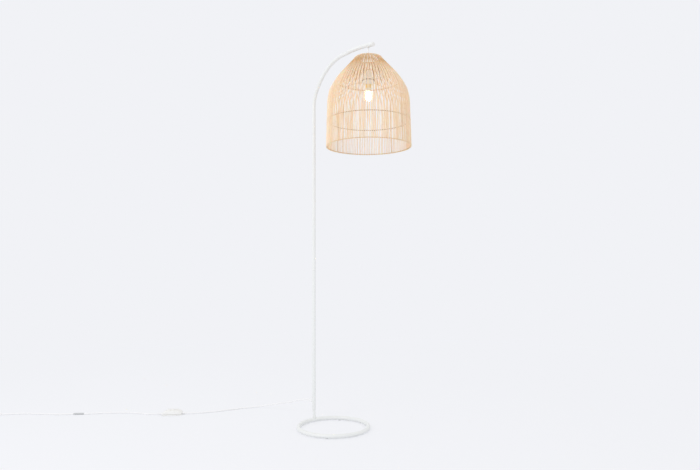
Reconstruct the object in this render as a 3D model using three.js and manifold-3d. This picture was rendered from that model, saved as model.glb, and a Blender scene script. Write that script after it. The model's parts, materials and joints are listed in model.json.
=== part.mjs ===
// A rattan floor lamp: a steel ring foot, a slim bent pole, and an open cane shade that hangs on its flex.
// Millimetres, +Z up. The pole's axis is x = 0, y = 0 while the pieces are made, with the arm along +X,
// and the last lines put the origin on the floor under the middle of the lamp's own outline.
import * as THREE from "three";
import { mergeVertices } from "three/addons/utils/BufferGeometryUtils.js";
import Module from "manifold-3d";

const wasm = await Module();
wasm.setup();

// Fits, shared by every piece
const gap = 0.3; // between faces that touch on the real lamp
const floorGap = 0.1; // under what lies on the floor
const overrun = 4; // how far a cutting shape runs past what it cuts
const weldShare = 0.001; // of the gap, within which two corners are one
const fullTurn = 360; // degrees

// Facets round a section, or round a whole ring
const pipeFacets = 12;
const rodFacets = 12;
const cordFacets = 8;
const wireFacets = 6;
const hoopFacets = 36;
const fineFacets = 16;
const glassFacets = 6; // from the bulb's foot to its neck
const elbowFacets = 3;
const firstBendFacets = 3; // along each of the arm's three bends
const secondBendFacets = 7;
const thirdBendFacets = 3;

// Foot ring and its glides
const ringBar = 16; // diameter of the bent bar
const ringRadius = 143; // to the bar's centreline
const ringAhead = 6.2; // from the pole's axis to the nearest point of that centreline
const glideCount = 4;
const firstGlideAngle = 45; // from the arm's heading
const glideDiameter = 10;
const glideThickness = 2; // rubber under the bar
const glideGrip = 1.6; // how far the rubber rises round the bar

// Pole and arm, one tube in three lengths
const tubeDiameter = 16;
const tubeWall = 1.5;
const poleFoot = 48; // lower end of the tube
const lowerSeam = 649;
const upperSeam = 1250;
const bendStart = 1370; // the arm is straight up to here
const firstBend = 112; // radii of the arm's first two tangent bends, to its centreline
const secondBend = 238;
const firstAngle = 32.6; // degrees that each of the three bends turns through
const secondAngle = 55;
const thirdAngle = 13.9;
const armPast = 32.73; // of the arm's end beyond the shade's axis
const spigotLength = 28; // of the foot stub inside the pole
const joinerHalf = 32; // of each joiner on either side of its seam
const joinerBore = 8.6;
const screwDiameter = 5;
const screwLength = 5;
const screwHeight = 62; // the grub screw that holds the pole on its spigot
const hexSocket = 2.5;
const hexDepth = 1.6;
const plugRim = 1.2; // thickness of the arm's end plug outside the tube
const plugDepth = 10;

// Shade: a wall of canes bound at four rows round a wire frame
const shadeReach = 393.3; // from the pole's axis to the shade's
const shadeFoot = 1125.2; // height of the bottom rim
const shadeHeight = 353;
const rimRadius = 166.2;
const caneThickness = 2.5;
const ribWidth = 8.6; // each modelled rib stands for three or four canes side by side
const ribCount = 40;
const ribMostShare = 0.72; // of the pitch, where the canes crowd at the neck
const rowHeight = 6;
const midRowShare = 0.292; // of the shade's height
const shoulderRowShare = 0.742;
// Outline of the shade: each level's height as a share of its height, radius as a share of the rim's
const outlineShares = [
  [0, 1],
  [midRowShare, 0.984],
  [0.51, 0.972],
  [0.609, 0.931],
  [0.694, 0.844],
  [0.779, 0.73],
  [0.88, 0.543],
  [1, 0.32],
];
const hoopWire = 3.5; // diameters
const stayWire = 3;
const stayCount = 4;
const firstStayAngle = 15.8; // degrees from the arm's heading

// Lampholder, its rings and the bulb, on the shade's axis
const holderDiameter = 39;
const holderBore = 28;
const holderSkirt = 17; // below the spider
const holderRise = 11; // above the spider
const holderFloor = 2.4;
const carrierWidth = 4.5; // of the spider's flat centre ring
const carrierThickness = 2;
const nutWidth = 3.2;
const nutHeight = 4;
const capHeight = 34;
const capWall = 2;
const capTop = 13; // diameter
const gripDiameter = 10;
const gripHeight = 12;
const gripRise = 3; // above the cap
const wireHole = 8;
const tongueDiameter = 6;
const bulbDiameter = 45;
const bulbCentreDrop = 61.7; // from the spider down to the middle of the ball
const glassWall = 1;
const bulbCapDiameter = 26.4;
const bulbCapTop = 5; // below the spider
const bulbCapLength = 26;
const bulbCollar = 8; // of glass inside the cap
const contactHeight = 5;
const contactSink = 0.6; // of the contact's foot below the cap's top
const glassNeckShare = 0.94; // of the collar's radius, where the ball meets it

// Flexes and the pendant's swivel
const flexDiameter = 6;
const flexLift = 0.4; // of the flex above the arm's centreline
const swivelBall = 9.6; // the stop that is crimped on the flex
const swivelWall = 1.4;
const bushDiameter = 12.4;
const bushBelow = 1.9; // from the pivot down to the bush's lip
const bushAbove = 2.4;
const lipWidth = 1.45;
const seatDrop = 0.7; // from the pivot down to where the bush begins to close
const stopBelow = 1.2; // from the pivot down to the stop's foot
const ballShares = [0.5, 0.8]; // heights of a ball's rings as shares of its radius
const coreRadius = 1.5; // of the stop's hole for the cores
const elbowRadius = 4.7; // of the flex where it turns up in the pole

// Mains cord
const cordDiameter = 6;
const exitHeight = 86;
const reliefLength = 26;
const reliefRoot = 9.4; // diameters of a strain relief at its root and tip
const reliefTip = 7;
const flangeThickness = 1.6;
const neckDiameter = 7.6;
const straightRun = 12; // of the cord where it leaves or meets a piece
const cordStep = 18.5;

// Foot switch
const switchCentre = new THREE.Vector3(-485, -446, 0);
const switchHeading = -121.7; // degrees
const switchLength = 86;
const switchWidth = 48;
const switchHeight = 22;
const switchEndShare = 0.5; // height of the ends
const switchFlatShare = 0.52; // length of the flat top
const trayHeight = 5;
const housingWall = 2;
const housingBevel = 1.6;
const buttonDiameter = 20;
const buttonRise = 3.4;
const buttonEdge = 1.1; // bevel
const pressTravel = 2.6;
const mechanismLength = 26;
const mechanismWidth = 20;
const mechanismHeight = 9;
const switchCordHeight = 5.6;
const switchReliefLength = 20;
const trayScrew = 4.5; // head diameter
const trayScrewShare = 0.36; // of the switch's length, from its middle
const screwSink = 1.4;

// Sleeve over the joint in the cord
const sleeveCentre = new THREE.Vector3(-740.5, -786.5, 0);
const sleeveHeading = -121.4;
const sleeveLength = 46;
const sleeveDiameter = 8.4;
const sleeveTaper = 6;

// Coil of the length that is put away, its tie and the plug
const coilStart = new THREE.Vector3(-999, -1153, 0);
const coilHeading = -121.7;
const coilTurns = 4;
const coilSteps = 24; // round one turn
const gapSamples = 4; // in each step, where the coil's gap to itself is measured
const coilInside = 26.4; // radii of the innermost and outermost turns
const coilPitch = 6.6;
const coilLift = 1.1; // of the coil above the floor, on its tie
const coilRunOut = 26; // straight over the turns, before it comes down
const coilDescent = 22;
const tieWidth = 5;
const tieThickness = 0.7;
const plugReliefLength = 22;
const plugLength = 36;
const plugWidth = 35;
const plugThickness = 13.6;
const plugNoseShare = 0.42; // width of the cord's end
const plugShoulderShare = 0.55; // length that is full width
const pinDiameter = 4;
const pinLength = 19;
const pinSpacing = 18.6;
const pinSeat = 8;

// Looks
function finish(color, roughness, metalness) {
  return new THREE.MeshStandardMaterial({ color, roughness, metalness });
}

const whiteSteel = finish(0xf1f1ef, 0.4, 0.1);
const zincSteel = finish(0xb9babd, 0.35, 0.9);
const cane = finish(0xe6bd90, 0.65, 0);
const darkWire = finish(0x6e5136, 0.5, 0.5);
const whitePlastic = finish(0xefece6, 0.45, 0);
const ceramic = finish(0xe9e6df, 0.5, 0);
const opalGlass = finish(0xfffaf0, 0.2, 0);
const brass = finish(0xc99a55, 0.35, 0.9);
const blackGlass = finish(0x202022, 0.2, 0);
const cordWhite = finish(0xeeeeec, 0.5, 0);
const greyRubber = finish(0xc3c5c6, 0.6, 0);
const clearRubber = finish(0xd9dadb, 0.5, 0);
const nickel = finish(0xcfd0d2, 0.25, 1);

// Derived sizes
const tubeBore = tubeDiameter - 2 * tubeWall;
const spigotDiameter = tubeBore - 2 * gap;
const ringHeight = glideThickness + ringBar / 2;
const ringMiddle = new THREE.Vector3(ringAhead + ringRadius, 0, ringHeight);
const shadeMiddle = new THREE.Vector3(shadeReach, 0, 0);
const spiderHeight = shadeFoot + shoulderRowShare * shadeHeight;
const layHeight = cordDiameter / 2 + floorGap; // of the cord's centreline on the floor
const lamp = new THREE.Group();

// Adds one piece, made in place, to the lamp.
function piece(name, geometry, material) {
  const mesh = new THREE.Mesh(geometry, material);
  mesh.name = name;
  lamp.add(mesh);
  return mesh;
}

// A solid for cutting and joining, from a closed geometry.
function solidOf(geometry) {
  const bare = geometry.clone();
  bare.deleteAttribute("normal");
  bare.deleteAttribute("uv");
  const merged = mergeVertices(bare, gap * weldShare);
  const vertProperties = new Float32Array(merged.attributes.position.array);
  const triVerts = new Uint32Array(merged.index.array);
  return new wasm.Manifold(new wasm.Mesh({ numProp: 3, vertProperties, triVerts }));
}

// The geometry of a cut or joined solid.
function geometryOf(solid) {
  const mesh = solid.getMesh();
  const geometry = new THREE.BufferGeometry();
  geometry.setAttribute("position", new THREE.BufferAttribute(mesh.vertProperties, 3));
  geometry.setIndex(new THREE.BufferAttribute(mesh.triVerts, 1));
  return geometry;
}

function cut(geometry, ...tools) {
  return geometryOf(tools.reduce((left, tool) => left.subtract(solidOf(tool)), solidOf(geometry)));
}

function joined(...geometries) {
  return geometryOf(geometries.map(solidOf).reduce((all, one) => all.add(one)));
}

// A path that a section follows through exactly these points.
class Track extends THREE.Curve {
  constructor(points) {
    super();
    this.points = points;
  }

  getPoint(t) {
    const place = t * (this.points.length - 1);
    const i = Math.min(Math.floor(place), this.points.length - 2);
    return this.points[i].clone().lerp(this.points[i + 1], place - i);
  }

  getPointAt(u) {
    return this.getPoint(u);
  }

  getTangentAt(u) {
    const i = Math.round(u * (this.points.length - 1));
    const before = this.points[Math.max(i - 1, 0)];
    const after = this.points[Math.min(i + 1, this.points.length - 1)];
    return after.clone().sub(before).normalize();
  }
}

function polygon(radius, facets) {
  const corner = (i) => (i / facets) * 2 * Math.PI;
  const at = (_, i) => new THREE.Vector2(Math.cos(corner(i)), Math.sin(corner(i))).multiplyScalar(radius);
  return Array.from({ length: facets }, at);
}

// A rod or, with a bore, a pipe along the points.
function along(points, diameter, facets, bore = 0) {
  const section = new THREE.Shape(polygon(diameter / 2, facets));
  if (bore > 0) section.holes.push(new THREE.Path(polygon(bore / 2, facets)));
  const steps = points.length - 1;
  return new THREE.ExtrudeGeometry(section, { steps, bevelEnabled: false, extrudePath: new Track(points) });
}

// A body of revolution about +Z from [radius, height] pairs, listed up its outside and down its inside.
function turned(profile, facets = fineFacets) {
  const lathe = new THREE.LatheGeometry(profile.map(([r, z]) => new THREE.Vector2(r, z)), facets);
  return lathe.rotateX(Math.PI / 2);
}

function sleeve(outer, bore, bottom, top, facets = fineFacets) {
  const [r, b] = [outer / 2, bore / 2];
  return turned([[b, bottom], [r, bottom], [r, top], [b, top], [b, bottom]], facets);
}

function disc(diameter, bottom, top, facets = fineFacets) {
  return turned([[0, bottom], [diameter / 2, bottom], [diameter / 2, top], [0, top]], facets);
}

function radians(degrees) {
  return THREE.MathUtils.degToRad(degrees);
}

function heading(degrees) {
  return new THREE.Vector3(Math.cos(radians(degrees)), Math.sin(radians(degrees)), 0);
}

function moved(geometry, { x = 0, y = 0, z = 0 }) {
  return geometry.translate(x, y, z);
}

// Turns a geometry made along +Z to run level along a heading, and puts its start at a place.
function laid(geometry, degrees, place) {
  return moved(geometry.rotateY(Math.PI / 2).rotateZ(radians(degrees)), place);
}

// The foot: the ring, the stub that carries the pole, and the glides
function ringBarGeometry(diameter) {
  return moved(new THREE.TorusGeometry(ringRadius, diameter / 2, rodFacets, hoopFacets), ringMiddle);
}

const ringCutter = ringBarGeometry(ringBar + 2 * gap);
piece("base_ring", ringBarGeometry(ringBar), whiteSteel);
const ringOnFloor = ringMiddle.clone().setZ(0);
for (let i = 0; i < glideCount; i += 1) {
  const away = heading(firstGlideAngle + (i / glideCount) * fullTurn);
  const place = ringOnFloor.clone().addScaledVector(away, ringRadius);
  const pad = moved(disc(glideDiameter, 0, glideThickness + glideGrip, rodFacets), place);
  piece(`glide_${i + 1}`, cut(pad, ringCutter), clearRubber);
}

const stubPoints = [
  new THREE.Vector3(ringAhead, 0, ringHeight),
  new THREE.Vector3(0, 0, poleFoot),
  new THREE.Vector3(0, 0, poleFoot + spigotLength),
];
const screwAxis = new THREE.Vector3(-tubeDiameter / 2, 0, screwHeight);
const screwSeat = laid(disc(screwDiameter + 2 * gap, -overrun, screwLength + gap, rodFacets), 0, screwAxis);
const stub = along(stubPoints, spigotDiameter, pipeFacets);
piece("foot_stub", cut(stub, ringCutter, screwSeat), whiteSteel);
const socket = laid(disc(hexSocket, -overrun, hexDepth, wireFacets), 0, screwAxis);
const screw = laid(disc(screwDiameter, 0, screwLength, rodFacets), 0, screwAxis);
piece("foot_grub_screw", cut(screw, socket), zincSteel);

// The pole: two straight lengths and the bent arm, on joiners
function upright(bottom, top) {
  return [new THREE.Vector3(0, 0, bottom), new THREE.Vector3(0, 0, top)];
}

const exitAxis = new THREE.Vector3(-tubeDiameter / 2, 0, exitHeight);
const cordHole = laid(disc(neckDiameter + 2 * gap, -overrun, tubeWall + overrun, rodFacets), 0, exitAxis);
const lowerTube = along(upright(poleFoot, lowerSeam - gap / 2), tubeDiameter, pipeFacets, tubeBore);
piece("pole_lower", cut(lowerTube, cordHole, screwSeat), whiteSteel);
const upperLine = upright(lowerSeam + gap / 2, upperSeam - gap / 2);
const upperTube = along(upperLine, tubeDiameter, pipeFacets, tubeBore);
piece("pole_upper", upperTube, whiteSteel);
for (const [name, seam] of [["joiner_lower", lowerSeam], ["joiner_upper", upperSeam]]) {
  const [low, high] = [seam - joinerHalf, seam + joinerHalf];
  piece(name, sleeve(spigotDiameter, joinerBore, low, high, pipeFacets), zincSteel);
}

// How far a bend of unit radius carries the arm forward while it leans from one angle to another
function forward(from, to) {
  return Math.cos(radians(from)) - Math.cos(radians(to));
}

// The third bend is as wide as it takes to end the arm beyond the shade's axis.
const [firstLean, secondLean] = [firstAngle, firstAngle + secondAngle];
const lastLean = secondLean + thirdAngle;
const twoBends = firstBend * forward(0, firstLean) + secondBend * forward(firstLean, secondLean);
const thirdBend = (shadeReach + armPast - twoBends) / forward(secondLean, lastLean);
console.log(`third bend of the arm: ${thirdBend.toFixed(2)} mm`);

// The arm's centreline as three tangent bends; lift moves it sideways, towards the outside of the bends.
const bends = [
  [firstBend, firstAngle, firstBendFacets],
  [secondBend, secondAngle, secondBendFacets],
  [thirdBend, thirdAngle, thirdBendFacets],
];
function armPoints(lift = 0) {
  const points = [];
  const from = new THREE.Vector2(0, bendStart);
  let lean = 0;
  for (const [radius, turn, steps] of bends) {
    const inward = new THREE.Vector2(Math.cos(lean), -Math.sin(lean));
    const middle = from.clone().addScaledVector(inward, radius);
    for (let i = 0; i <= steps; i += 1) {
      const angle = lean + (radians(turn) * i) / steps;
      const out = new THREE.Vector2(-Math.cos(angle), Math.sin(angle));
      const place = middle.clone().addScaledVector(out, radius + lift);
      if (i > 0 || points.length === 0) points.push(new THREE.Vector3(place.x, 0, place.y));
      if (i === steps) from.copy(middle).addScaledVector(out, radius);
    }
    lean += radians(turn);
  }
  return points;
}

// Height of the arm's centreline over a place on +X, past its top bend.
function armHeight(x) {
  const points = armPoints();
  const after = points.findIndex((point) => point.x > x);
  const [a, b] = [points[after - 1], points[after]];
  return THREE.MathUtils.lerp(a.z, b.z, (x - a.x) / (b.x - a.x));
}

const pivot = new THREE.Vector3(shadeReach, 0, armHeight(shadeReach) - tubeDiameter / 2 + gap);
const armPath = [new THREE.Vector3(0, 0, upperSeam + gap / 2), ...armPoints()];
const bushCutter = disc(bushDiameter + 2 * gap, -bushBelow - overrun, tubeDiameter / 2, pipeFacets);
const armTube = along(armPath, tubeDiameter, pipeFacets, tubeBore);
piece("arm", cut(armTube, moved(bushCutter, pivot)), whiteSteel);

const [beforeTip, tip] = armPath.slice(-2);
const outward = tip.clone().sub(beforeTip).normalize();
const plugFrom = (distance) => tip.clone().addScaledVector(outward, distance);
const plugStem = along([plugFrom(-plugDepth), plugFrom(gap + plugRim / 2)], tubeBore - 2 * gap, pipeFacets);
const plugHead = along([plugFrom(gap), plugFrom(gap + plugRim)], tubeDiameter, pipeFacets);
piece("arm_end_plug", joined(plugStem, plugHead), whitePlastic);

// The bush in the arm's underside, and the ball-shaped stop that rides in it
const [ball, bush] = [swivelBall / 2, bushDiameter / 2];
const seat = ball + gap;
const lip = bush - lipWidth;
const bushProfile = [[lip, -bushBelow], [bush, -bushBelow], [bush, bushAbove], [seat, bushAbove]];
bushProfile.push([seat, -seatDrop], [lip, -bushBelow]);
piece("arm_bush", moved(turned(bushProfile, pipeFacets), pivot), whitePlastic);

const cavity = flexDiameter / 2 + gap;
const onSphere = (radius, z) => [Math.sqrt(radius * radius - z * z), z];
const heightOn = (radius, r) => Math.sqrt(radius * radius - r * r);
const domed = (radius) => ballShares.map((share) => onSphere(radius, share * radius));
const stopProfile = [onSphere(ball, -stopBelow), [ball, 0], ...domed(ball)];
stopProfile.push([coreRadius, heightOn(ball, coreRadius)], [coreRadius, heightOn(cavity, coreRadius)]);
stopProfile.push(domed(cavity)[0], [cavity, 0], [ball - swivelWall / 2, -stopBelow]);
stopProfile.push(onSphere(ball, -stopBelow));
piece("flex_stop", moved(turned(stopProfile, pipeFacets), pivot), whitePlastic);

// The flex inside the pole: in at the cord's exit, up, round the arm, and over the stop
const insidePath = [];
for (let i = 0; i <= elbowFacets; i += 1) {
  const angle = (i / elbowFacets) * (Math.PI / 2);
  const [back, rise] = [elbowRadius * (1 - Math.sin(angle)), elbowRadius * (1 - Math.cos(angle))];
  insidePath.push(new THREE.Vector3(-back, 0, exitHeight + rise));
}
insidePath.push(...upright(lowerSeam, upperSeam + joinerHalf));
insidePath.push(...armPoints(flexLift).filter((point) => point.x < shadeReach - cordStep));
const overStop = armHeight(shadeReach) + flexLift;
insidePath.push(new THREE.Vector3(shadeReach + coreRadius, 0, overStop));
piece("inner_flex", along(insidePath, flexDiameter, cordFacets), cordWhite);

// The shade's wall at a share of its height
function wallRadius(share) {
  const after = Math.max(1, outlineShares.findIndex(([height]) => height >= share));
  const [[h0, r0], [h1, r1]] = outlineShares.slice(after - 1, after + 1);
  return rimRadius * THREE.MathUtils.lerp(r0, r1, (share - h0) / (h1 - h0));
}

// Heights of the wall's levels as shares, each with whether the canes are bound together above it.
function wallLevels() {
  const row = rowHeight / shadeHeight;
  const rows = [[0, row], [midRowShare - row / 2, midRowShare + row / 2]];
  rows.push([shoulderRowShare - row / 2, shoulderRowShare + row / 2], [1 - row, 1]);
  const bound = (share) => rows.some(([low, high]) => share >= low && share < high);
  const inRow = (share) => rows.some(([low, high]) => share >= low && share <= high);
  const between = outlineShares.map(([share]) => share).filter((share) => !inRow(share));
  return [...rows.flat(), ...between].sort((a, b) => a - b).map((share) => ({ share, bound: bound(share) }));
}

// The wall of canes: ribs that run from rim to neck, joined round the shade at the bound rows.
function caneWallGeometry() {
  const levels = wallLevels();
  const positions = [];
  const faces = [];
  for (const { share } of levels) {
    const outer = wallRadius(share);
    const width = Math.min(ribWidth, (ribMostShare * 2 * Math.PI * outer) / ribCount);
    for (let rib = 0; rib < ribCount; rib += 1) {
      for (const side of [-1, 1]) {
        const angle = (rib / ribCount) * 2 * Math.PI + (side * width) / 2 / outer;
        for (const radius of [outer, outer - caneThickness]) {
          positions.push(radius * Math.cos(angle), radius * Math.sin(angle), shadeFoot + share * shadeHeight);
        }
      }
    }
  }
  // The corner at a level, on a rib's first or second side, on the outer or inner face
  const corner = (level, rib, side, inner) => ((level * ribCount + (rib % ribCount)) * 2 + side) * 2 + inner;
  const quad = (a, b, c, d) => faces.push(a, b, c, a, c, d);
  const last = levels.length - 1;
  for (let i = 0; i <= last; i += 1) {
    for (let rib = 0; rib < ribCount; rib += 1) {
      const here = (side, inner) => corner(i, rib, side, inner);
      const above = (side, inner) => corner(i + 1, rib, side, inner);
      const next = (inner) => corner(i, rib + 1, 0, inner);
      const nextAbove = (inner) => corner(i + 1, rib + 1, 0, inner);
      const boundBelow = i > 0 && levels[i - 1].bound;
      const boundAbove = i < last && levels[i].bound;
      if (i < last) {
        quad(here(0, 0), here(1, 0), above(1, 0), above(0, 0));
        quad(here(1, 1), here(0, 1), above(0, 1), above(1, 1));
        if (levels[i].bound) {
          quad(here(1, 0), next(0), nextAbove(0), above(1, 0));
          quad(next(1), here(1, 1), above(1, 1), nextAbove(1));
        } else {
          quad(here(1, 0), here(1, 1), above(1, 1), above(1, 0));
          quad(here(0, 1), here(0, 0), above(0, 0), above(0, 1));
        }
      }
      if (boundBelow && !boundAbove) quad(here(1, 0), next(0), next(1), here(1, 1));
      if (boundAbove && !boundBelow) quad(here(1, 1), next(1), next(0), here(1, 0));
      if (i === 0) quad(here(0, 1), here(1, 1), here(1, 0), here(0, 0));
      if (i === last) quad(here(0, 0), here(1, 0), here(1, 1), here(0, 1));
    }
  }
  const geometry = new THREE.BufferGeometry();
  geometry.setAttribute("position", new THREE.Float32BufferAttribute(positions, 3));
  geometry.setIndex(faces);
  return moved(geometry, shadeMiddle);
}

piece("cane_wall", caneWallGeometry(), cane);

// The wire frame inside the canes: four hoops, four stays inside them and the spider for the lampholder
// The wall leans in towards the neck, so the distance from its inside to a wire is measured square to it.
function wireRadius(share, inset) {
  const reach = hoopWire / shadeHeight;
  const [low, high] = [Math.max(share - reach, 0), Math.min(share + reach, 1)];
  const lean = Math.atan((wallRadius(low) - wallRadius(high)) / ((high - low) * shadeHeight));
  return wallRadius(share) - caneThickness - inset / Math.cos(lean);
}

const hoopInset = gap + hoopWire / 2;
const stayInset = hoopInset + hoopWire / 2 + gap + stayWire / 2;
const flatShare = Math.cos(Math.PI / hoopFacets); // a hoop's radius at its flats over that at its corners
const rimHoopShare = rowHeight / 2 / shadeHeight;
const hoopShares = {
  rim_hoop: rimHoopShare,
  mid_hoop: midRowShare,
  shoulder_hoop: shoulderRowShare,
  neck_hoop: 1 - rimHoopShare,
};
for (const [name, share] of Object.entries(hoopShares)) {
  const ring = new THREE.TorusGeometry(wireRadius(share, hoopInset), hoopWire / 2, wireFacets, hoopFacets);
  piece(name, moved(ring, shadeMiddle.clone().setZ(shadeFoot + share * shadeHeight)), darkWire);
}

const stayTopShare = shoulderRowShare - (stayWire + gap) / shadeHeight; // just under the spider
const bendShares = outlineShares.map(([share]) => share);
const onStay = bendShares.filter((share) => share > midRowShare && share < stayTopShare);
const stayShares = [rimHoopShare, midRowShare, ...onStay, stayTopShare];
const carrierBore = holderDiameter + 2 * gap;
const carrierDiameter = carrierBore + 2 * carrierWidth;
const nutDiameter = carrierBore + 2 * nutWidth;
const carrierLow = spiderHeight - carrierThickness / 2;
const carrier = sleeve(carrierDiameter, carrierBore, carrierLow, carrierLow + carrierThickness);
const spiderParts = [moved(carrier, shadeMiddle)];
const spokeReach = (wireRadius(shoulderRowShare, hoopInset) - hoopWire / 2) * flatShare - gap;
const stayRadius = (share) => wireRadius(share, stayInset) * flatShare;
for (let i = 0; i < stayCount; i += 1) {
  const away = heading(firstStayAngle + (i / stayCount) * fullTurn);
  const at = (radius, z) => away.clone().multiplyScalar(radius).add(shadeMiddle).setZ(z);
  const stay = stayShares.map((share) => at(stayRadius(share), shadeFoot + share * shadeHeight));
  const spoke = [nutDiameter / 2 + gap, spokeReach].map((reach) => at(reach, spiderHeight));
  piece(`stay_${i + 1}`, along(stay, stayWire, wireFacets), darkWire);
  spiderParts.push(along(spoke, stayWire, wireFacets));
}
piece("spider", joined(...spiderParts), darkWire);

// The lampholder: body, cap, cord grip, contact block and the two rings that clamp the spider
const skirtFoot = spiderHeight - holderSkirt;
const bodyTop = spiderHeight + holderRise;
const [bodyRadius, boreRadius] = [holderDiameter / 2, holderBore / 2];
const [holeRadius, holderRoof] = [wireHole / 2, bodyTop - holderFloor];
const bodyProfile = [[boreRadius, skirtFoot], [bodyRadius, skirtFoot], [bodyRadius, bodyTop]];
bodyProfile.push([holeRadius, bodyTop], [holeRadius, holderRoof], [boreRadius, holderRoof]);
bodyProfile.push([boreRadius, skirtFoot]);
piece("lampholder_body", moved(turned(bodyProfile), shadeMiddle), whitePlastic);

const nutLow = carrierLow + carrierThickness + gap;
const nut = (low) => moved(sleeve(nutDiameter, carrierBore, low, low + nutHeight), shadeMiddle);
piece("shade_ring_upper", nut(nutLow), whitePlastic);
piece("shade_ring_lower", nut(carrierLow - gap - nutHeight), whitePlastic);

const capFoot = nutLow + nutHeight + gap;
const capRadius = carrierBore / 2 + capWall;
const capPeak = capFoot + capHeight;
const gripBore = gripDiameter / 2 + gap;
const capProfile = [[carrierBore / 2, capFoot], [capRadius, capFoot], [capRadius, capFoot + capWall * 2]];
capProfile.push([capTop / 2, capPeak], [gripBore, capPeak], [gripBore, capPeak - gripHeight]);
capProfile.push([carrierBore / 2, bodyTop + capWall], [carrierBore / 2, capFoot]);
piece("lampholder_cap", moved(turned(capProfile), shadeMiddle), whitePlastic);

const flexBore = flexDiameter + 2 * gap;
const gripTop = capPeak + gripRise;
const grip = sleeve(gripDiameter, flexBore, gripTop - gripHeight, gripTop, pipeFacets);
piece("cord_grip", moved(grip, shadeMiddle), whitePlastic);

const blockTop = bodyTop - holderFloor - gap;
const tongueFoot = spiderHeight - bulbCapTop + contactHeight + gap;
const [tongue, block] = [tongueDiameter / 2, boreRadius - gap];
const blockProfile = [[0, tongueFoot], [tongue, tongueFoot], [tongue, tongueFoot + gripRise]];
blockProfile.push([block, tongueFoot + gripRise], [block, blockTop], [0, blockTop]);
piece("lampholder_contact", moved(turned(blockProfile), shadeMiddle), ceramic);

// The flex that the pendant hangs on, from the stop down into the cap
const flexRadius = flexDiameter / 2;
const flexFoot = bodyTop + gap - pivot.z;
const flexProfile = [[0, flexFoot], [flexRadius, flexFoot], [flexRadius, 0]];
flexProfile.push(...domed(flexRadius), [0, flexRadius]);
piece("hanging_flex", moved(turned(flexProfile, rodFacets), pivot), cordWhite);

// The bulb: screw cap, contact and hollow glass, open inside the cap
const screwTop = spiderHeight - bulbCapTop;
const screwFoot = screwTop - bulbCapLength;
const [threadRadius, ballRadius] = [bulbCapDiameter / 2, bulbDiameter / 2];
const insideThread = threadRadius - glassWall;
const collarRadius = insideThread - gap;
const threadProfile = [[insideThread, screwFoot], [threadRadius, screwFoot]];
threadProfile.push([threadRadius, screwTop - glassWall], [tongueDiameter, screwTop]);
threadProfile.push([tongueDiameter - glassWall, screwTop], [insideThread, screwTop - 2 * glassWall]);
threadProfile.push([insideThread, screwFoot]);
piece("bulb_cap", moved(turned(threadProfile), shadeMiddle), brass);
const contactFoot = screwTop - contactSink;
const contactRadius = tongueDiameter - glassWall - gap;
const contactProfile = [[0, contactFoot], [contactRadius, contactFoot], [tongue, screwTop + contactHeight]];
contactProfile.push([0, screwTop + contactHeight]);
piece("bulb_contact", moved(turned(contactProfile), shadeMiddle), blackGlass);

const ballMiddle = spiderHeight - bulbCentreDrop;
const glassTop = screwFoot + bulbCollar;
function glassProfile(inset) {
  const radius = ballRadius - inset;
  const points = [];
  const neckAngle = Math.acos((collarRadius * glassNeckShare) / ballRadius);
  for (let i = 0; i <= glassFacets; i += 1) {
    const angle = -Math.PI / 2 + ((neckAngle + Math.PI / 2) * i) / glassFacets;
    points.push([Math.max(0, radius * Math.cos(angle)), ballMiddle + radius * Math.sin(angle)]);
  }
  points[0][0] = 0;
  points.push([collarRadius - inset, screwFoot], [collarRadius - inset, glassTop]);
  return points;
}
const glass = turned([...glassProfile(0), ...glassProfile(glassWall).reverse()]);
piece("bulb_glass", moved(glass, shadeMiddle), opalGlass);

// Strain reliefs: a neck in the wall, a flange on it and a long taper
function relief(length, neck) {
  const [root, end, neckRadius] = [reliefRoot / 2, reliefTip / 2, neckDiameter / 2];
  const profile = [[0, -neck], [neckRadius, -neck], [neckRadius, gap], [root, gap]];
  profile.push([root, flangeThickness], [end, length], [0, length]);
  return turned(profile, pipeFacets);
}

piece("cord_relief", laid(relief(reliefLength, tubeWall + gap), fullTurn / 2, exitAxis), cordWhite);

// The foot switch, made along +X with its middle at the origin and then turned to its place
function placed(geometry) {
  return moved(geometry.rotateZ(radians(switchHeading)), switchCentre);
}

function sideOutline(inset, foot) {
  const [end, flat] = [switchLength / 2 - inset, (switchLength * switchFlatShare) / 2 - inset / 2];
  const [endTop, top] = [switchHeight * switchEndShare - inset, switchHeight - inset];
  const outline = [[-end, foot], [end, foot], [end, endTop], [flat, top], [-flat, top], [-end, endTop]];
  return new THREE.Shape(outline.map(([x, z]) => new THREE.Vector2(x, z)));
}

// A plate through the shape's outline, its middle plane at zero, with its outer edges rounded off
function slab(shape, thickness, bevel) {
  const options = { depth: thickness - 2 * bevel, bevelEnabled: bevel > 0, bevelSegments: 2 };
  Object.assign(options, { bevelSize: bevel, bevelThickness: bevel, bevelOffset: -bevel });
  return new THREE.ExtrudeGeometry(shape, options).translate(0, 0, bevel - thickness / 2);
}

function across(shape, width, bevel) {
  return slab(shape, width, bevel).rotateX(Math.PI / 2);
}

const coverFoot = trayHeight + gap;
const buttonWell = disc(buttonDiameter + 2 * gap, trayHeight, switchHeight + overrun);
const innerInset = housingWall + housingBevel;
const inside = () => across(sideOutline(innerInset, 0), switchWidth - 2 * innerInset, 0);
const endHole = (sign) => {
  const hole = disc(neckDiameter + 2 * gap, -overrun, housingWall + overrun, rodFacets);
  return laid(hole, sign > 0 ? fullTurn / 2 : 0, { x: (sign * switchLength) / 2, z: switchCordHeight });
};
const underCover = disc(2 * switchLength, -overrun, coverFoot, wireFacets);
const aboveTray = disc(2 * switchLength, trayHeight, switchHeight + overrun, wireFacets);
const shell = () => across(sideOutline(0, 0), switchWidth, housingBevel);
const cover = cut(shell(), inside(), buttonWell, endHole(1), endHole(-1), underCover);
piece("switch_cover", placed(cover), whitePlastic);

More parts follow.
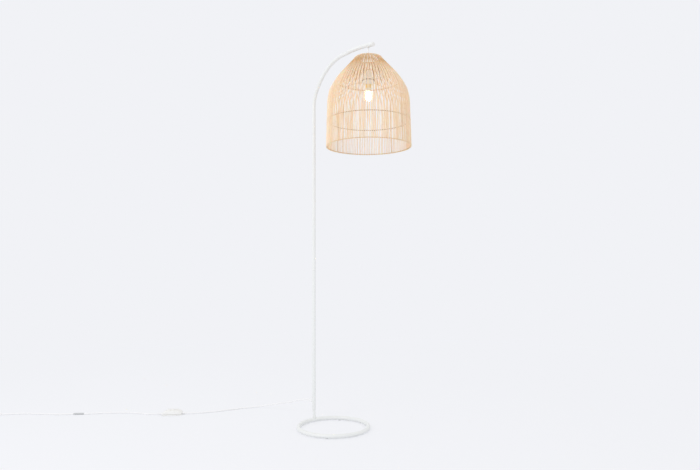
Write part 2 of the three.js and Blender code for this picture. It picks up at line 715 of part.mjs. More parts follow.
const screwPlaces = [-1, 1].map((sign) => new THREE.Vector3(sign * trayScrewShare * switchLength, 0, 0));
const screwHole = () => disc(trayScrew + 2 * gap, -overrun, screwSink + gap, rodFacets);
const screwHoles = screwPlaces.map((place) => moved(screwHole(), place));
const overFloor = moved(inside(), { z: housingWall });
const tray = cut(shell(), overFloor, endHole(1), endHole(-1), aboveTray, ...screwHoles);
piece("switch_tray", placed(tray), whitePlastic);
screwPlaces.forEach((place, i) => {
  piece(`switch_screw_${i + 1}`, placed(moved(disc(trayScrew, gap, screwSink, rodFacets), place)), zincSteel);
});

const mechanismFoot = housingWall + gap;
const mechanismTop = mechanismFoot + mechanismHeight;
const mechanism = new THREE.BoxGeometry(mechanismLength, mechanismWidth, mechanismHeight);
piece("switch_mechanism", placed(mechanism.translate(0, 0, mechanismFoot + mechanismHeight / 2)), greyRubber);
const buttonTop = switchHeight + buttonRise;
const buttonFoot = mechanismTop + gap + pressTravel;
const buttonRadius = buttonDiameter / 2;
const buttonProfile = [[0, buttonFoot], [buttonRadius, buttonFoot], [buttonRadius, buttonTop - buttonEdge]];
buttonProfile.push([buttonRadius - buttonEdge, buttonTop], [0, buttonTop]);
piece("switch_button", placed(turned(buttonProfile)), whitePlastic);

const switchAlong = heading(switchHeading);
const switchAxis = switchCentre.clone().setZ(switchCordHeight);
const switchEnd = (distance) => switchAxis.clone().addScaledVector(switchAlong, distance);
const switchRelief = () => relief(switchReliefLength, housingWall);
const reliefIn = laid(switchRelief(), switchHeading + fullTurn / 2, switchEnd(-switchLength / 2));
piece("switch_relief_in", reliefIn, cordWhite);
piece("switch_relief_out", laid(switchRelief(), switchHeading, switchEnd(switchLength / 2)), cordWhite);

// The sleeve over the joint in the cord
const sleeveAxis = sleeveCentre.clone().setZ(sleeveDiameter / 2 + floorGap);
const sleeveAlong = heading(sleeveHeading);
const sleeveEnd = (distance) => sleeveAxis.clone().addScaledVector(sleeveAlong, distance);
const [barrel, mouth] = [sleeveDiameter / 2, cordDiameter / 2 + gap];
const sleeveProfile = [[0, 0], [mouth, 0], [barrel, sleeveTaper], [barrel, sleeveLength - sleeveTaper]];
sleeveProfile.push([mouth, sleeveLength], [0, sleeveLength]);
const spliceSleeve = laid(turned(sleeveProfile, rodFacets), sleeveHeading, sleeveEnd(-sleeveLength / 2));
piece("splice_sleeve", spliceSleeve, greyRubber);

// A free stretch of cord through hand-set points, straight at both ends and never below the floor.
function stretch(name, from, fromAlong, route, to, toAlong) {
  const start = from.clone().addScaledVector(fromAlong, gap);
  const end = to.clone().addScaledVector(toAlong, -gap);
  const led = start.clone().addScaledVector(fromAlong, straightRun);
  const met = end.clone().addScaledVector(toAlong, -straightRun);
  const hand = route.map(([x, y, z]) => new THREE.Vector3(x, y, z));
  const smooth = new THREE.CatmullRomCurve3([start, led, ...hand, met, end], false, "centripetal");
  const points = smooth.getSpacedPoints(Math.round(smooth.getLength() / cordStep));
  points.forEach((point) => point.setZ(Math.max(point.z, layHeight)));
  console.log(`${name}: ${smooth.getLength().toFixed(0)} mm`);
  piece(name, along(points, cordDiameter, cordFacets), cordWhite);
}

// Routes as chosen by eye: down from the exit to the floor, then in loose waves to the coil
const nearRoute = [
  [-77, 0, 80.5],
  [-122, 0, 70],
  [-172, -5, 55.5],
  [-226, -11, 42],
  [-282, -23, 28],
  [-334, -43, 15],
  [-374, -77, 6],
  [-396, -130, layHeight],
  [-405, -188, layHeight],
  [-412, -245, layHeight],
  [-423, -302, layHeight],
  [-435, -350, 3.8],
];
const midRoute = [
  [-549, -533, layHeight],
  [-584, -557, layHeight],
  [-622, -586, layHeight],
  [-654, -624, layHeight],
  [-682, -666, layHeight],
  [-704, -711, layHeight],
];
const farRoute = [
  [-784, -851, layHeight],
  [-817, -889, layHeight],
  [-852, -925, layHeight],
  [-887, -962, layHeight],
  [-912, -999, layHeight],
  [-932, -1040, layHeight],
  [-954, -1080, layHeight],
];
const back = heading(fullTurn / 2);
const reliefEnd = exitAxis.clone().addScaledVector(back, reliefLength);
const switchIn = switchEnd(-switchLength / 2 - switchReliefLength);
const switchOut = switchEnd(switchLength / 2 + switchReliefLength);
stretch("cord_near", reliefEnd, back, nearRoute, switchIn, switchAlong);
stretch("cord_mid", switchOut, switchAlong, midRoute, sleeveEnd(-sleeveLength / 2), sleeveAlong);
const coilAlong = heading(coilHeading);
const coilFoot = layHeight + coilLift;
const coilRoot = coilStart.clone().setZ(coilFoot);
stretch("cord_far", sleeveEnd(sleeveLength / 2), sleeveAlong, farRoute, coilRoot, coilAlong);

// The coil: loops that spiral in on the lower layer, climb, and spiral out on the upper one
const coilOutside = coilInside + (coilTurns / 2) * coilPitch;
const coilEntry = coilStart.clone().addScaledVector(coilAlong, gap + cordDiameter);
const coilRight = heading(coilHeading - fullTurn / 4);
const coilMiddle = coilEntry.clone().addScaledVector(coilRight, coilOutside);
function coilPoint(turn, radius, z) {
  const away = heading(coilHeading + (1 / 4 - turn) * fullTurn);
  return coilMiddle.clone().addScaledVector(away, radius).setZ(z);
}

const plugHeight = plugThickness / 2 + floorGap;
function coilPoints() {
  const points = [coilStart.clone().addScaledVector(coilAlong, gap).setZ(coilFoot)];
  const count = coilTurns * coilSteps;
  for (let i = 0; i <= count; i += 1) {
    const turn = (i / count) * coilTurns;
    const fromMiddle = turn - coilTurns / 2;
    const climbed = THREE.MathUtils.clamp(fromMiddle * 2 + 1 / 2, 0, 1);
    const radius = coilInside + Math.abs(fromMiddle) * coilPitch;
    points.push(coilPoint(turn, radius, coilFoot + climbed * coilPitch));
  }
  const high = points[points.length - 1];
  const onwards = (distance, z) => high.clone().addScaledVector(coilAlong, distance).setZ(z);
  points.push(onwards(coilRunOut, high.z));
  points.push(onwards(coilRunOut + coilDescent, plugHeight));
  points.push(onwards(coilRunOut + coilDescent + cordDiameter, plugHeight));
  return points;
}

// The least gap of a tube to itself, between points more than half a turn apart along it.
function leastGap(points, diameter, apart) {
  const fine = new Track(points);
  const count = gapSamples * (points.length - 1);
  const places = Array.from({ length: count + 1 }, (_, i) => fine.getPoint(i / count));
  let least = Infinity;
  for (let i = 0; i < places.length; i += 1) {
    for (let j = i + gapSamples * apart; j < places.length; j += 1) {
      least = Math.min(least, places[i].distanceTo(places[j]));
    }
  }
  return least - diameter;
}

const wound = coilPoints();
console.log(`cord_coil: ${new THREE.CatmullRomCurve3(wound).getLength().toFixed(0)} mm`);
console.log(`least gap of the coil to itself: ${leastGap(wound, cordDiameter, coilSteps / 2).toFixed(2)} mm`);
piece("cord_coil", along(wound, cordDiameter, wireFacets), cordWhite);

// The tie: a flat band round both layers where the turns lie squarely over each other
const bundle = coilPitch + cordDiameter + 2 * gap;
const tieMiddle = coilPoint(1 / 2, coilInside + coilPitch, coilFoot + coilPitch / 2);
const corners = [[-1, -1], [1, -1], [1, 1], [-1, 1]];
const square = (size) => corners.map(([x, y]) => new THREE.Vector2((x * size) / 2, (y * size) / 2));
const band = new THREE.Shape(square(bundle + 2 * tieThickness));
band.holes.push(new THREE.Path(square(bundle)));
piece("coil_tie", laid(slab(band, tieWidth, 0), coilHeading, tieMiddle), cordWhite);

// The plug, on from the coil's end
const coilEnd = wound[wound.length - 1].clone().addScaledVector(coilAlong, gap);
const plugBack = coilEnd.clone().addScaledVector(coilAlong, plugReliefLength);
const plugRelief = relief(plugReliefLength, housingWall);
piece("plug_relief", laid(plugRelief, coilHeading + fullTurn / 2, plugBack), cordWhite);
const [nose, full] = [(plugWidth * plugNoseShare) / 2, plugWidth / 2];
const shoulder = plugLength * (1 - plugShoulderShare);
const plugOutline = [[0, -nose], [shoulder, -full], [plugLength, -full], [plugLength, full]];
plugOutline.push([shoulder, full], [0, nose]);
const plugShape = new THREE.Shape(plugOutline.map(([x, y]) => new THREE.Vector2(x, y)));
const plugBlock = slab(plugShape, plugThickness, housingBevel);
const reliefSocket = laid(disc(neckDiameter + 2 * gap, -overrun, housingWall + gap, rodFacets), 0, {});
const pinPlace = (side, depth) => new THREE.Vector3(plugLength - depth, (side * pinSpacing) / 2, 0);
const pinCutter = () => disc(pinDiameter + 2 * gap, 0, pinSeat + overrun, rodFacets);
const pinSocket = (side) => laid(pinCutter(), 0, pinPlace(side, pinSeat));
const plug = cut(plugBlock, reliefSocket, pinSocket(-1), pinSocket(1));
piece("plug_body", moved(plug.rotateZ(radians(coilHeading)), plugBack), whitePlastic);
for (const [name, side] of [["plug_pin_left", 1], ["plug_pin_right", -1]]) {
  const [radius, reach] = [pinDiameter / 2, pinSeat - gap + pinLength];
  const pinProfile = [[0, 0], [radius, 0], [radius, reach - radius / 2], [radius / 2, reach], [0, reach]];
  const pin = laid(turned(pinProfile, rodFacets), 0, pinPlace(side, pinSeat - gap));
  piece(name, moved(pin.rotateZ(radians(coilHeading)), plugBack), nickel);
}

// The origin: on the floor, under the middle of the lamp without its mains cord
const standing = new THREE.Box3();
for (const name of ["pole_lower", "cane_wall", "base_ring"]) {
  standing.expandByObject(lamp.getObjectByName(name));
}
lamp.position.x = -(standing.min.x + standing.max.x) / 2;

export default lamp;
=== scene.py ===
"""Looks of a rattan floor lamp.

A powder-coated steel stand, an open cane shade on its flex, a lit bulb and the mains cord with its
switch and plug.
"""
import json
import logging
import math
from collections.abc import Callable, Iterable, Sequence
from dataclasses import dataclass, field, fields
from enum import Enum
from functools import partial

import bmesh
import bpy
import numpy as np
from bpy.types import NodeSocket, NodeTree, Object
from mathutils import Matrix, Vector


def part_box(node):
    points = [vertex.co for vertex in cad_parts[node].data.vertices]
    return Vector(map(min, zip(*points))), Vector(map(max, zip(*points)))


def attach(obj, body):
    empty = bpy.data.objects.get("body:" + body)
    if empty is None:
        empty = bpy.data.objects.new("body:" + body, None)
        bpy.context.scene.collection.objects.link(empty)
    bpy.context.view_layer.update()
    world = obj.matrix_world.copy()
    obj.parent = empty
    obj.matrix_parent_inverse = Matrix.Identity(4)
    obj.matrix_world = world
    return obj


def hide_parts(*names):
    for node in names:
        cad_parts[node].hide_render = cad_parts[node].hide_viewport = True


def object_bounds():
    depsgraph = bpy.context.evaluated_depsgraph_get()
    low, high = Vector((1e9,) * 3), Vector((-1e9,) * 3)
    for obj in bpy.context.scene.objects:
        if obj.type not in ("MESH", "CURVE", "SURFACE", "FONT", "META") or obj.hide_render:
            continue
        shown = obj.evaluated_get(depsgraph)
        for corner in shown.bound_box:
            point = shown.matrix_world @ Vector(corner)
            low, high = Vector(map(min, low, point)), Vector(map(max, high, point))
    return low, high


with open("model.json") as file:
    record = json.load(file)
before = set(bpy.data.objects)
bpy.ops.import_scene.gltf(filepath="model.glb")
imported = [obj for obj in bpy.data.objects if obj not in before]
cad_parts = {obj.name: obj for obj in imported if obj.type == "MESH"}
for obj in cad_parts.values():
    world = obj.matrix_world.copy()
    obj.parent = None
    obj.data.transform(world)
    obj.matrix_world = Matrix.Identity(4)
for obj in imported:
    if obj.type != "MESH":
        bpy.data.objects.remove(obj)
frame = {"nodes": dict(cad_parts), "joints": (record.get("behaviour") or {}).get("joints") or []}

log = logging.getLogger("rattan_lamp")
CAD_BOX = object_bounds()
MM = 0.001
# A profile's points this near its axis, in millimetres, lie on it.
ON_AXIS = 1e-9
# Points nearer than this, in metres, are one point.
MERGED = 1e-7
# Most of a noise texture's values lie between these two.
NOISE_LOW, NOISE_HIGH = 0.3, 0.7
Profile = Sequence[tuple[float, float]]
Place = tuple[float, float, float]


class Body(Enum):
    """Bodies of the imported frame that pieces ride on."""

    STAND = "stand"
    PENDANT = "pendant"
    BUTTON = "button"


# Geometry


@dataclass(frozen=True)
class Site:
    """Where the pole stands in the row frame, in metres, and its tube's diameter in millimetres.

    Sizes in this script are millimetres measured from the pole's axis, as on the lamp's drawing.
    """

    pole_x: float
    tube: float = 16.0

    def at(self, x: float, y: float, z: float) -> Vector:
        """The point in metres of a place measured in millimetres from the pole's axis."""
        return Vector((self.pole_x + x * MM, y * MM, z * MM))


def heading(degrees: float) -> Vector:
    """The level unit vector at that angle from +X."""
    return Vector((math.cos(math.radians(degrees)), math.sin(math.radians(degrees)), 0))


def rise(height: float) -> Vector:
    """The upright vector of a height in millimetres."""
    return Vector((0, 0, height * MM))


def circle(middle: Vector, radius: float, count: int) -> list[Vector]:
    """Even places round a middle, at a radius in millimetres."""
    return [middle + heading(360 * i / count) * radius * MM for i in range(count)]


def facing(direction: Vector, place: Vector) -> Matrix:
    """The matrix that turns +Z to a direction and puts the origin at a place."""
    return Matrix.Translation(place) @ direction.to_track_quat("Z", "Y").to_matrix().to_4x4()


def along_floor(degrees: float, place: Vector) -> Matrix:
    """The matrix that turns +X to a heading and puts the origin at a place."""
    return Matrix.Translation(place) @ Matrix.Rotation(math.radians(degrees), 4, "Z")


def smooth_route(points: Sequence[Vector], step: float) -> list[Vector]:
    """Samples the centripetal curve through the points.

    Args:
        points: places that the curve goes through.
        step: greatest distance between two samples, in metres.

    Returns:
        The samples, with the first and the last point among them.
    """
    ends = [2 * points[0] - points[1], *points, 2 * points[-1] - points[-2]]
    route: list[Vector] = [points[0].copy()]
    for p0, p1, p2, p3 in zip(ends, ends[1:], ends[2:], ends[3:]):
        t1 = math.sqrt((p1 - p0).length)
        t2 = t1 + math.sqrt((p2 - p1).length)
        t3 = t2 + math.sqrt((p3 - p2).length)
        count = max(1, math.ceil((p2 - p1).length / step))
        for i in range(1, count + 1):
            t = t1 + (t2 - t1) * i / count
            a = p0 * (t1 - t) / t1 + p1 * t / t1
            b = p1 * (t2 - t) / (t2 - t1) + p2 * (t - t1) / (t2 - t1)
            c = p2 * (t3 - t) / (t3 - t2) + p3 * (t - t2) / (t3 - t2)
            low = a * (t2 - t) / t2 + b * t / t2
            high = b * (t3 - t) / (t3 - t1) + c * (t - t1) / (t3 - t1)
            route.append(low * (t2 - t) / (t2 - t1) + high * (t - t1) / (t2 - t1))
    return route


def eased(share: float) -> float:
    """A share held between 0 and 1 that starts and stops softly."""
    held = min(max(share, 0.0), 1.0)
    return held * held * (3 - 2 * held)


def monotone(table: Profile) -> Callable[[float], float]:
    """A smooth function through the points of a table that never overshoots them.

    Args:
        table: (place, value) pairs, with rising places.

    Returns:
        The function, constant past both ends.
    """
    x, y = np.array(table, float).T
    slopes = np.diff(y) / np.diff(x)
    slope = np.concatenate([slopes[:1], np.zeros(len(x) - 2), slopes[-1:]])
    for i in range(1, len(x) - 1):
        before, after = slopes[i - 1], slopes[i]
        if before * after > 0:
            slope[i] = 2 * before * after / (before + after)

    def value(at: float) -> float:
        """Reads the function.

        Args:
            at: the place.

        Returns:
            The value there.
        """
        at = min(max(at, x[0]), x[-1])
        i = min(int(np.searchsorted(x, at, side="right")) - 1, len(x) - 2)
        span = x[i + 1] - x[i]
        t = (at - x[i]) / span
        h00, h10 = (1 + 2 * t) * (1 - t) ** 2, t * (1 - t) ** 2
        h01, h11 = t * t * (3 - 2 * t), t * t * (t - 1)
        return float(h00 * y[i] + h10 * span * slope[i] + h01 * y[i + 1] + h11 * span * slope[i + 1])

    return value


def new_object(name: str, points: Iterable[Sequence[float]], edges: Iterable = (),
               faces: Iterable = ()) -> Object:
    """Adds an object with a new mesh to the scene.

    Args:
        name: name of the object and its mesh.
        points: places of the mesh's vertices, in metres.
        edges: pairs of vertices.
        faces: loops of vertices.

    Returns:
        The object, at the origin.
    """
    mesh = bpy.data.meshes.new(name)
    mesh.from_pydata([tuple(p) for p in points], list(edges), list(faces))
    made = bpy.data.objects.new(name, mesh)
    bpy.context.scene.collection.objects.link(made)
    return made


def turn_outwards(mesh: bpy.types.Mesh, merged: float = 0.0) -> None:
    """Turns a mesh's faces outwards.

    Args:
        mesh: the mesh, with closed seams.
        merged: distance in metres under which points are joined first; 0 joins none.
    """
    work = bmesh.new()
    work.from_mesh(mesh)
    if merged:
        bmesh.ops.remove_doubles(work, verts=work.verts, dist=merged)
    bmesh.ops.recalc_face_normals(work, faces=work.faces)
    work.to_mesh(mesh)
    work.free()


class Shape:
    """Vertices and faces of a piece while it is made, in metres."""

    def __init__(self) -> None:
        """Starts an empty shape."""
        self.points: list[Vector] = []
        self.faces: list[tuple[int, ...]] = []

    def skin(self, rings: Sequence[Sequence[Vector]], closed: bool) -> "Shape":
        """Adds a skin over rings of points.

        Args:
            rings: rings of equal count, in order.
            closed: whether the last ring joins the first; an open skin gets a pole at each end.

        Returns:
            This shape.
        """
        base, sides = len(self.points), len(rings[0])
        for ring in rings:
            self.points.extend(ring)
        for i in range(len(rings) if closed else len(rings) - 1):
            low, high = base + i * sides, base + ((i + 1) % len(rings)) * sides
            for k in range(sides):
                n = (k + 1) % sides
                self.faces.append((low + k, low + n, high + n, high + k))
        for start in () if closed else (base, base + (len(rings) - 1) * sides):
            ring = self.points[start:start + sides]
            self.points.append(sum(ring, Vector()) / sides)
            pole = len(self.points) - 1
            self.faces.extend((start + k, start + (k + 1) % sides, pole) for k in range(sides))
        return self

    def tube(self, path: Sequence[Vector], radius: float | Sequence[float], sides: int = 20,
             closed: bool = False) -> "Shape":
        """Adds a round rod along a path.

        Args:
            path: points that the rod's middle follows, in metres.
            radius: the rod's radius in metres, or one for each point.
            sides: facets round the rod.
            closed: whether the rod's end joins its start.

        Returns:
            This shape.
        """
        radii = [radius] * len(path) if isinstance(radius, float) else list(radius)
        count = len(path)
        tangents = []
        for i in range(count):
            before = path[(i - 1) % count] if closed or i else path[0]
            after = path[(i + 1) % count] if closed or i < count - 1 else path[-1]
            tangents.append((after - before).normalized())
        # The cross product with +Z gives a level side, unless the rod starts nearly upright.
        nearly_upright = 0.9
        side = tangents[0].orthogonal().normalized()
        if abs(tangents[0].z) < nearly_upright:
            side = tangents[0].cross(Vector((0, 0, 1))).normalized()
        turns = [2 * math.pi * k / sides for k in range(sides)]
        rings = []
        for point, tangent, r in zip(path, tangents, radii):
            side = (side - tangent * side.dot(tangent)).normalized()
            other = tangent.cross(side)
            rings.append([point + r * (side * math.cos(a) + other * math.sin(a)) for a in turns])
        return self.skin(rings, closed)

    def lathe(self, profile: Profile, place: Matrix, steps: int = 48) -> "Shape":
        """Adds a body of revolution.

        Args:
            profile: (radius, height) pairs in millimetres along its own +Z. It starts and ends on the
                axis, or its last pair repeats its first.
            place: where it stands in the row frame.
            steps: facets round the axis.

        Returns:
            This shape.
        """
        loops: list[list[int]] = []
        closed = profile[0] == profile[-1] and profile[0][0] > ON_AXIS
        turns = [2 * math.pi * k / steps for k in range(steps)]
        for r, z in profile[:-1] if closed else profile:
            first = len(self.points)
            if r < ON_AXIS:
                self.points.append(place @ rise(z))
                loops.append([first] * steps)
            else:
                self.points.extend(place @ Vector((r * MM * math.cos(a), r * MM * math.sin(a), z * MM))
                                   for a in turns)
                loops.append(list(range(first, first + steps)))
        for low, high in zip(loops, loops[1:] + loops[:1] if closed else loops[1:]):
            for k in range(steps):
                n = (k + 1) % steps
                face = tuple(dict.fromkeys((low[k], low[n], high[n], high[k])))
                if len(face) > 2:
                    self.faces.append(face)
        return self

    def prism(self, outline: Profile, low: float, high: float, place: Matrix) -> "Shape":
        """Adds a bar of one cross-section.

        Args:
            outline: the section's corners in X and Z, in millimetres.
            low: where the bar starts along Y, in millimetres.
            high: where it ends.
            place: where its origin stands in the row frame.

        Returns:
            This shape.
        """
        base, count = len(self.points), len(outline)
        for y in (low, high):
            self.points.extend(place @ Vector((x * MM, y * MM, z * MM)) for x, z in outline)
        for i in range(count):
            n = (i + 1) % count
            self.faces.append((base + i, base + n, base + count + n, base + count + i))
        self.faces.append(tuple(base + i for i in reversed(range(count))))
        self.faces.append(tuple(base + count + i for i in range(count)))
        return self

    def piece(self, name: str) -> Object:
        """Makes the object, with its faces turned outwards.

        Args:
            name: its name.

        Returns:
            The object.
        """
        made = new_object(name, self.points, (), self.faces)
        turn_outwards(made.data, MERGED)
        return made


def settle(piece: Object) -> None:
    """Turns a piece and its modifiers into a plain mesh.

    Args:
        piece: the piece, with its modifiers set.
    """
    graph = bpy.context.evaluated_depsgraph_get()
    mesh = bpy.data.meshes.new_from_object(piece.evaluated_get(graph), depsgraph=graph)
    piece.modifiers.clear()
    piece.data = mesh
    mesh.name = piece.name


def carve(piece: Object, tool: Shape) -> None:
    """Cuts a shape out of a piece.

    Args:
        piece: the piece to cut.
        tool: the space that is taken out.
    """
    cutter = tool.piece(piece.name + "_cutter")
    modifier = piece.modifiers.new("carve", "BOOLEAN")
    modifier.operation, modifier.object, modifier.solver = "DIFFERENCE", cutter, "EXACT"
    modifier.use_self = False
    settle(piece)
    bpy.data.objects.remove(cutter)


def round_edges(piece: Object, width: float, segments: int) -> None:
    """Rounds a piece's edges.

    Args:
        piece: the piece.
        width: width of the rounding in millimetres.
        segments: facets across it.
    """
    least_angle = 30
    modifier = piece.modifiers.new("rounded", "BEVEL")
    modifier.width, modifier.segments, modifier.limit_method = width * MM, segments, "ANGLE"
    modifier.angle_limit = math.radians(least_angle)
    settle(piece)


# Nodes and finishes


def linear(colour: str) -> tuple[float, float, float, float]:
    """The linear colour of an sRGB hex value."""
    parts = [int(colour[i:i + 2], 16) / 255 for i in (1, 3, 5)]
    return (*(p / 12.92 if p <= 0.04045 else ((p + 0.055) / 1.055) ** 2.4 for p in parts), 1.0)


def add_node(tree: NodeTree, kind: str, inputs: dict | None = None, out: int | str = 0,
             **settings: object) -> NodeSocket | bpy.types.Node:
    """Adds a node with its settings and links.

    Args:
        tree: the tree that it goes into.
        kind: the node's type.
        inputs: a value, or the socket that feeds it, for each input's name or index.
        out: name or index of the output to return.
        settings: the node's own properties.

    Returns:
        That output, or the node where it has none.
    """
    node = tree.nodes.new(kind)
    for key, value in settings.items():
        setattr(node, key, value)
    for key, value in (inputs or {}).items():
        if isinstance(value, NodeSocket):
            tree.links.new(value, node.inputs[key])
        else:
            node.inputs[key].default_value = value
    return node.outputs[out] if len(node.outputs) else node


@dataclass(frozen=True)
class Finish:
    """A surface finish: its material's name, the record's slot and the values of its shader.

    The colour varies between two tones over a pattern of patch millimetres. A finer grain of its own
    size gives the bump, relief millimetres high, and moves the roughness by its spread. A Mix node's
    sockets for colours go by their index: 0 is the share, 6 and 7 are the colours and 2 is the result.
    """

    name: str
    slot: str
    tone: str
    shade: str
    roughness: float
    metallic: float = 0.0
    patch: float = 60.0
    grain: float = 2.0
    relief: float = 0.05
    stretch: Place = (1.0, 1.0, 1.0)
    coat: float = 0.0
    coat_roughness: float = 0.2
    spread: float = 0.08
    bump: float = 0.5

    def colour(self, tree: NodeTree, where: NodeSocket) -> NodeSocket:
        """Mixes the colour from two tones in soft patches.

        Args:
            tree: the material's tree.
            where: places on the piece.

        Returns:
            The colour.
        """
        patches = add_node(tree, "ShaderNodeTexNoise", {
            "Vector": where, "Scale": 1 / (self.patch * MM), "Detail": 3.0})
        return add_node(tree, "ShaderNodeMix", {0: patches, 6: linear(self.tone), 7: linear(self.shade)},
                        out=2, data_type="RGBA")

    def shader(self, tree: NodeTree) -> NodeSocket:
        """Adds the Principled shader with its colour, roughness and bump.

        Args:
            tree: the material's tree.

        Returns:
            The shader's output.
        """
        place = add_node(tree, "ShaderNodeTexCoord", out="Object")
        where = add_node(tree, "ShaderNodeMapping", {"Vector": place, "Scale": self.stretch})
        grain = add_node(tree, "ShaderNodeTexNoise", {
            "Vector": where, "Scale": 1 / (self.grain * MM), "Detail": 2.0})
        rough = add_node(tree, "ShaderNodeMapRange", {
            "Value": grain, "From Min": NOISE_LOW, "From Max": NOISE_HIGH,
            "To Min": self.roughness - self.spread, "To Max": self.roughness + self.spread})
        bump = add_node(tree, "ShaderNodeBump", {
            "Height": grain, "Strength": self.bump, "Distance": self.relief * MM})
        return add_node(tree, "ShaderNodeBsdfPrincipled", {
            "Base Color": self.colour(tree, where), "Roughness": rough, "Normal": bump,
            "Metallic": self.metallic, "Coat Weight": self.coat, "Coat Roughness": self.coat_roughness})

    def material(self) -> bpy.types.Material:
        """Makes the material once.

        Returns:
            The material.
        """
        known = bpy.data.materials.get(self.name)
        if known:
            return known
        made = bpy.data.materials.new(self.name)
        made.use_nodes = True
        made.node_tree.nodes.clear()
        surface = self.shader(made.node_tree)
        add_node(made.node_tree, "ShaderNodeOutputMaterial", {"Surface": surface})
        made.diffuse_color = linear(self.tone)
        return made


@dataclass(frozen=True)
class CaneFinish(Finish):
    """Rattan: each strand has its own tone, with fibres along it and a dark joint now and then.

    The strands' attributes say how they differ: tone, from 0 to 1, and run, the metres along a strand.
    Thin cane lets a little of the bulb's light through, depth millimetres deep.
    """

    dark: str = "#C99E6C"
    fibres: tuple[float, float] = (0.45, 0.75)
    fibre_share: float = 0.35
    joint_spacing: float = 240.0
    joint_width: float = 2.88
    joint_share: float = 0.55
    joint_shift: float = 7.3
    through: float = 0.4
    depth: float = 2.0
    depth_by_colour: Place = (1.0, 0.6, 0.35)

    def shader(self, tree: NodeTree) -> NodeSocket:
        """The Principled shader with light that passes through the cane.

        Args:
            tree: the material's tree.

        Returns:
            The shader's output.
        """
        made = super().shader(tree).node
        for name, value in (("Weight", self.through), ("Radius", self.depth_by_colour),
                            ("Scale", self.depth * MM)):
            made.inputs[f"Subsurface {name}"].default_value = value
        return made.outputs[0]

    def peeled(self, tree: NodeTree, own: NodeSocket, run: NodeSocket) -> NodeSocket:
        """The strand's own tone between the two colours; a finish that changes along it uses its run."""
        return add_node(tree, "ShaderNodeMix", {0: own, 6: linear(self.tone), 7: linear(self.shade)}, out=2,
                        data_type="RGBA")

    def colour(self, tree: NodeTree, where: NodeSocket) -> NodeSocket:
        """The strand's own tone, streaked along its fibres and darker at its joints.

        Args:
            tree: the material's tree.
            where: the stretched place on the piece.

        Returns:
            The colour's socket.
        """
        add = partial(add_node, tree)
        own, run = (add("ShaderNodeAttribute", out="Fac", attribute_name=name) for name in ("tone", "run"))
        fibre = add("ShaderNodeTexNoise", {"Vector": where, "Scale": 1 / (self.grain * MM), "Detail": 3.0})
        low, high = self.fibres
        streak = add("ShaderNodeMapRange", {"Value": fibre, "From Min": low, "From Max": high,
                                            "To Min": 0.0, "To Max": self.fibre_share})
        streaked = add("ShaderNodeMix", {0: streak, 6: self.peeled(tree, own, run), 7: linear(self.dark)},
                       out=2, data_type="RGBA")
        # A joint is a ring some millimetres wide; the shift by tone keeps the strands' joints apart.
        shifted = add("ShaderNodeMath", {0: own, 1: self.joint_shift, 2: run}, operation="MULTIPLY_ADD")
        spaced = add("ShaderNodeMath", {0: shifted, 1: 1 / (self.joint_spacing * MM)}, operation="MULTIPLY")
        part = add("ShaderNodeMath", {0: spaced}, operation="FRACT")
        ring = add("ShaderNodeMapRange", {
            "Value": part, "From Min": 0.0, "From Max": self.joint_width / self.joint_spacing,
            "To Min": self.joint_share, "To Max": 0.0})
        return add("ShaderNodeMix", {0: ring, 6: streaked, 7: linear(self.dark)}, out=2, data_type="RGBA")


@dataclass(frozen=True)
class UprightCaneFinish(CaneFinish):
    """Cane of the wall: paler lower down with painted bulb light, darker in the dome with painted shade, and
    paler again at its top ends.

    Its run is the height above the floor. The heights at which it changes are in millimetres.
    """

    # The dome's darker tone is painted shade. The heights below mark where the painted bulb light gives way
    # to it and where the top ends turn paler again.
    tip: str = "#D3AC7A"
    bleached_to: float = 1395.0
    raw_from: float = 1450.0
    sanded_from: float = 1476.0
    sanded_share: float = 0.3

    def peeled(self, tree: NodeTree, own: NodeSocket, run: NodeSocket) -> NodeSocket:
        """The cane's tone at its height, with painted bulb light low down and painted shade in the dome.

        Args:
            tree: the material's tree.
            own: the cane's own share between the two colours.
            run: the height above the floor, in metres.

        Returns:
            The colour's socket.
        """
        bulb_lit_tone = super().peeled(tree, own, run)
        shares = [add_node(tree, "ShaderNodeMapRange", {
            "Value": run, "From Min": low * MM, "From Max": high * MM, "To Min": first, "To Max": last})
            for low, high, first, last in ((self.bleached_to, self.raw_from, 0.0, 1.0),
                                           (self.raw_from, self.sanded_from, 1.0, self.sanded_share))]
        # The share of painted shade: none low down, full in the dome, less again at the top ends.
        painted_shade_share = add_node(tree, "ShaderNodeMath", dict(enumerate(shares)), operation="MULTIPLY")
        return add_node(tree, "ShaderNodeMix", {0: painted_shade_share, 6: bulb_lit_tone, 7: linear(self.tip)}, out=2,
                        data_type="RGBA")


@dataclass(frozen=True)
class LitFinish(Finish):
    """A part of the lit bulb: a finish with a warm light of its own, clear where its alpha is low."""

    glow: str = "#FFE7BC"
    strength: float = 1.0
    alpha: float = 1.0

    def shader(self, tree: NodeTree) -> NodeSocket:
        """The Principled shader with its own light.

        Args:
            tree: the material's tree.

        Returns:
            The shader's output.
        """
        made = super().shader(tree).node
        for name, value in (("Emission Color", linear(self.glow)), ("Emission Strength", self.strength),
                            ("Alpha", self.alpha)):
            made.inputs[name].default_value = value
        return made.outputs[0]


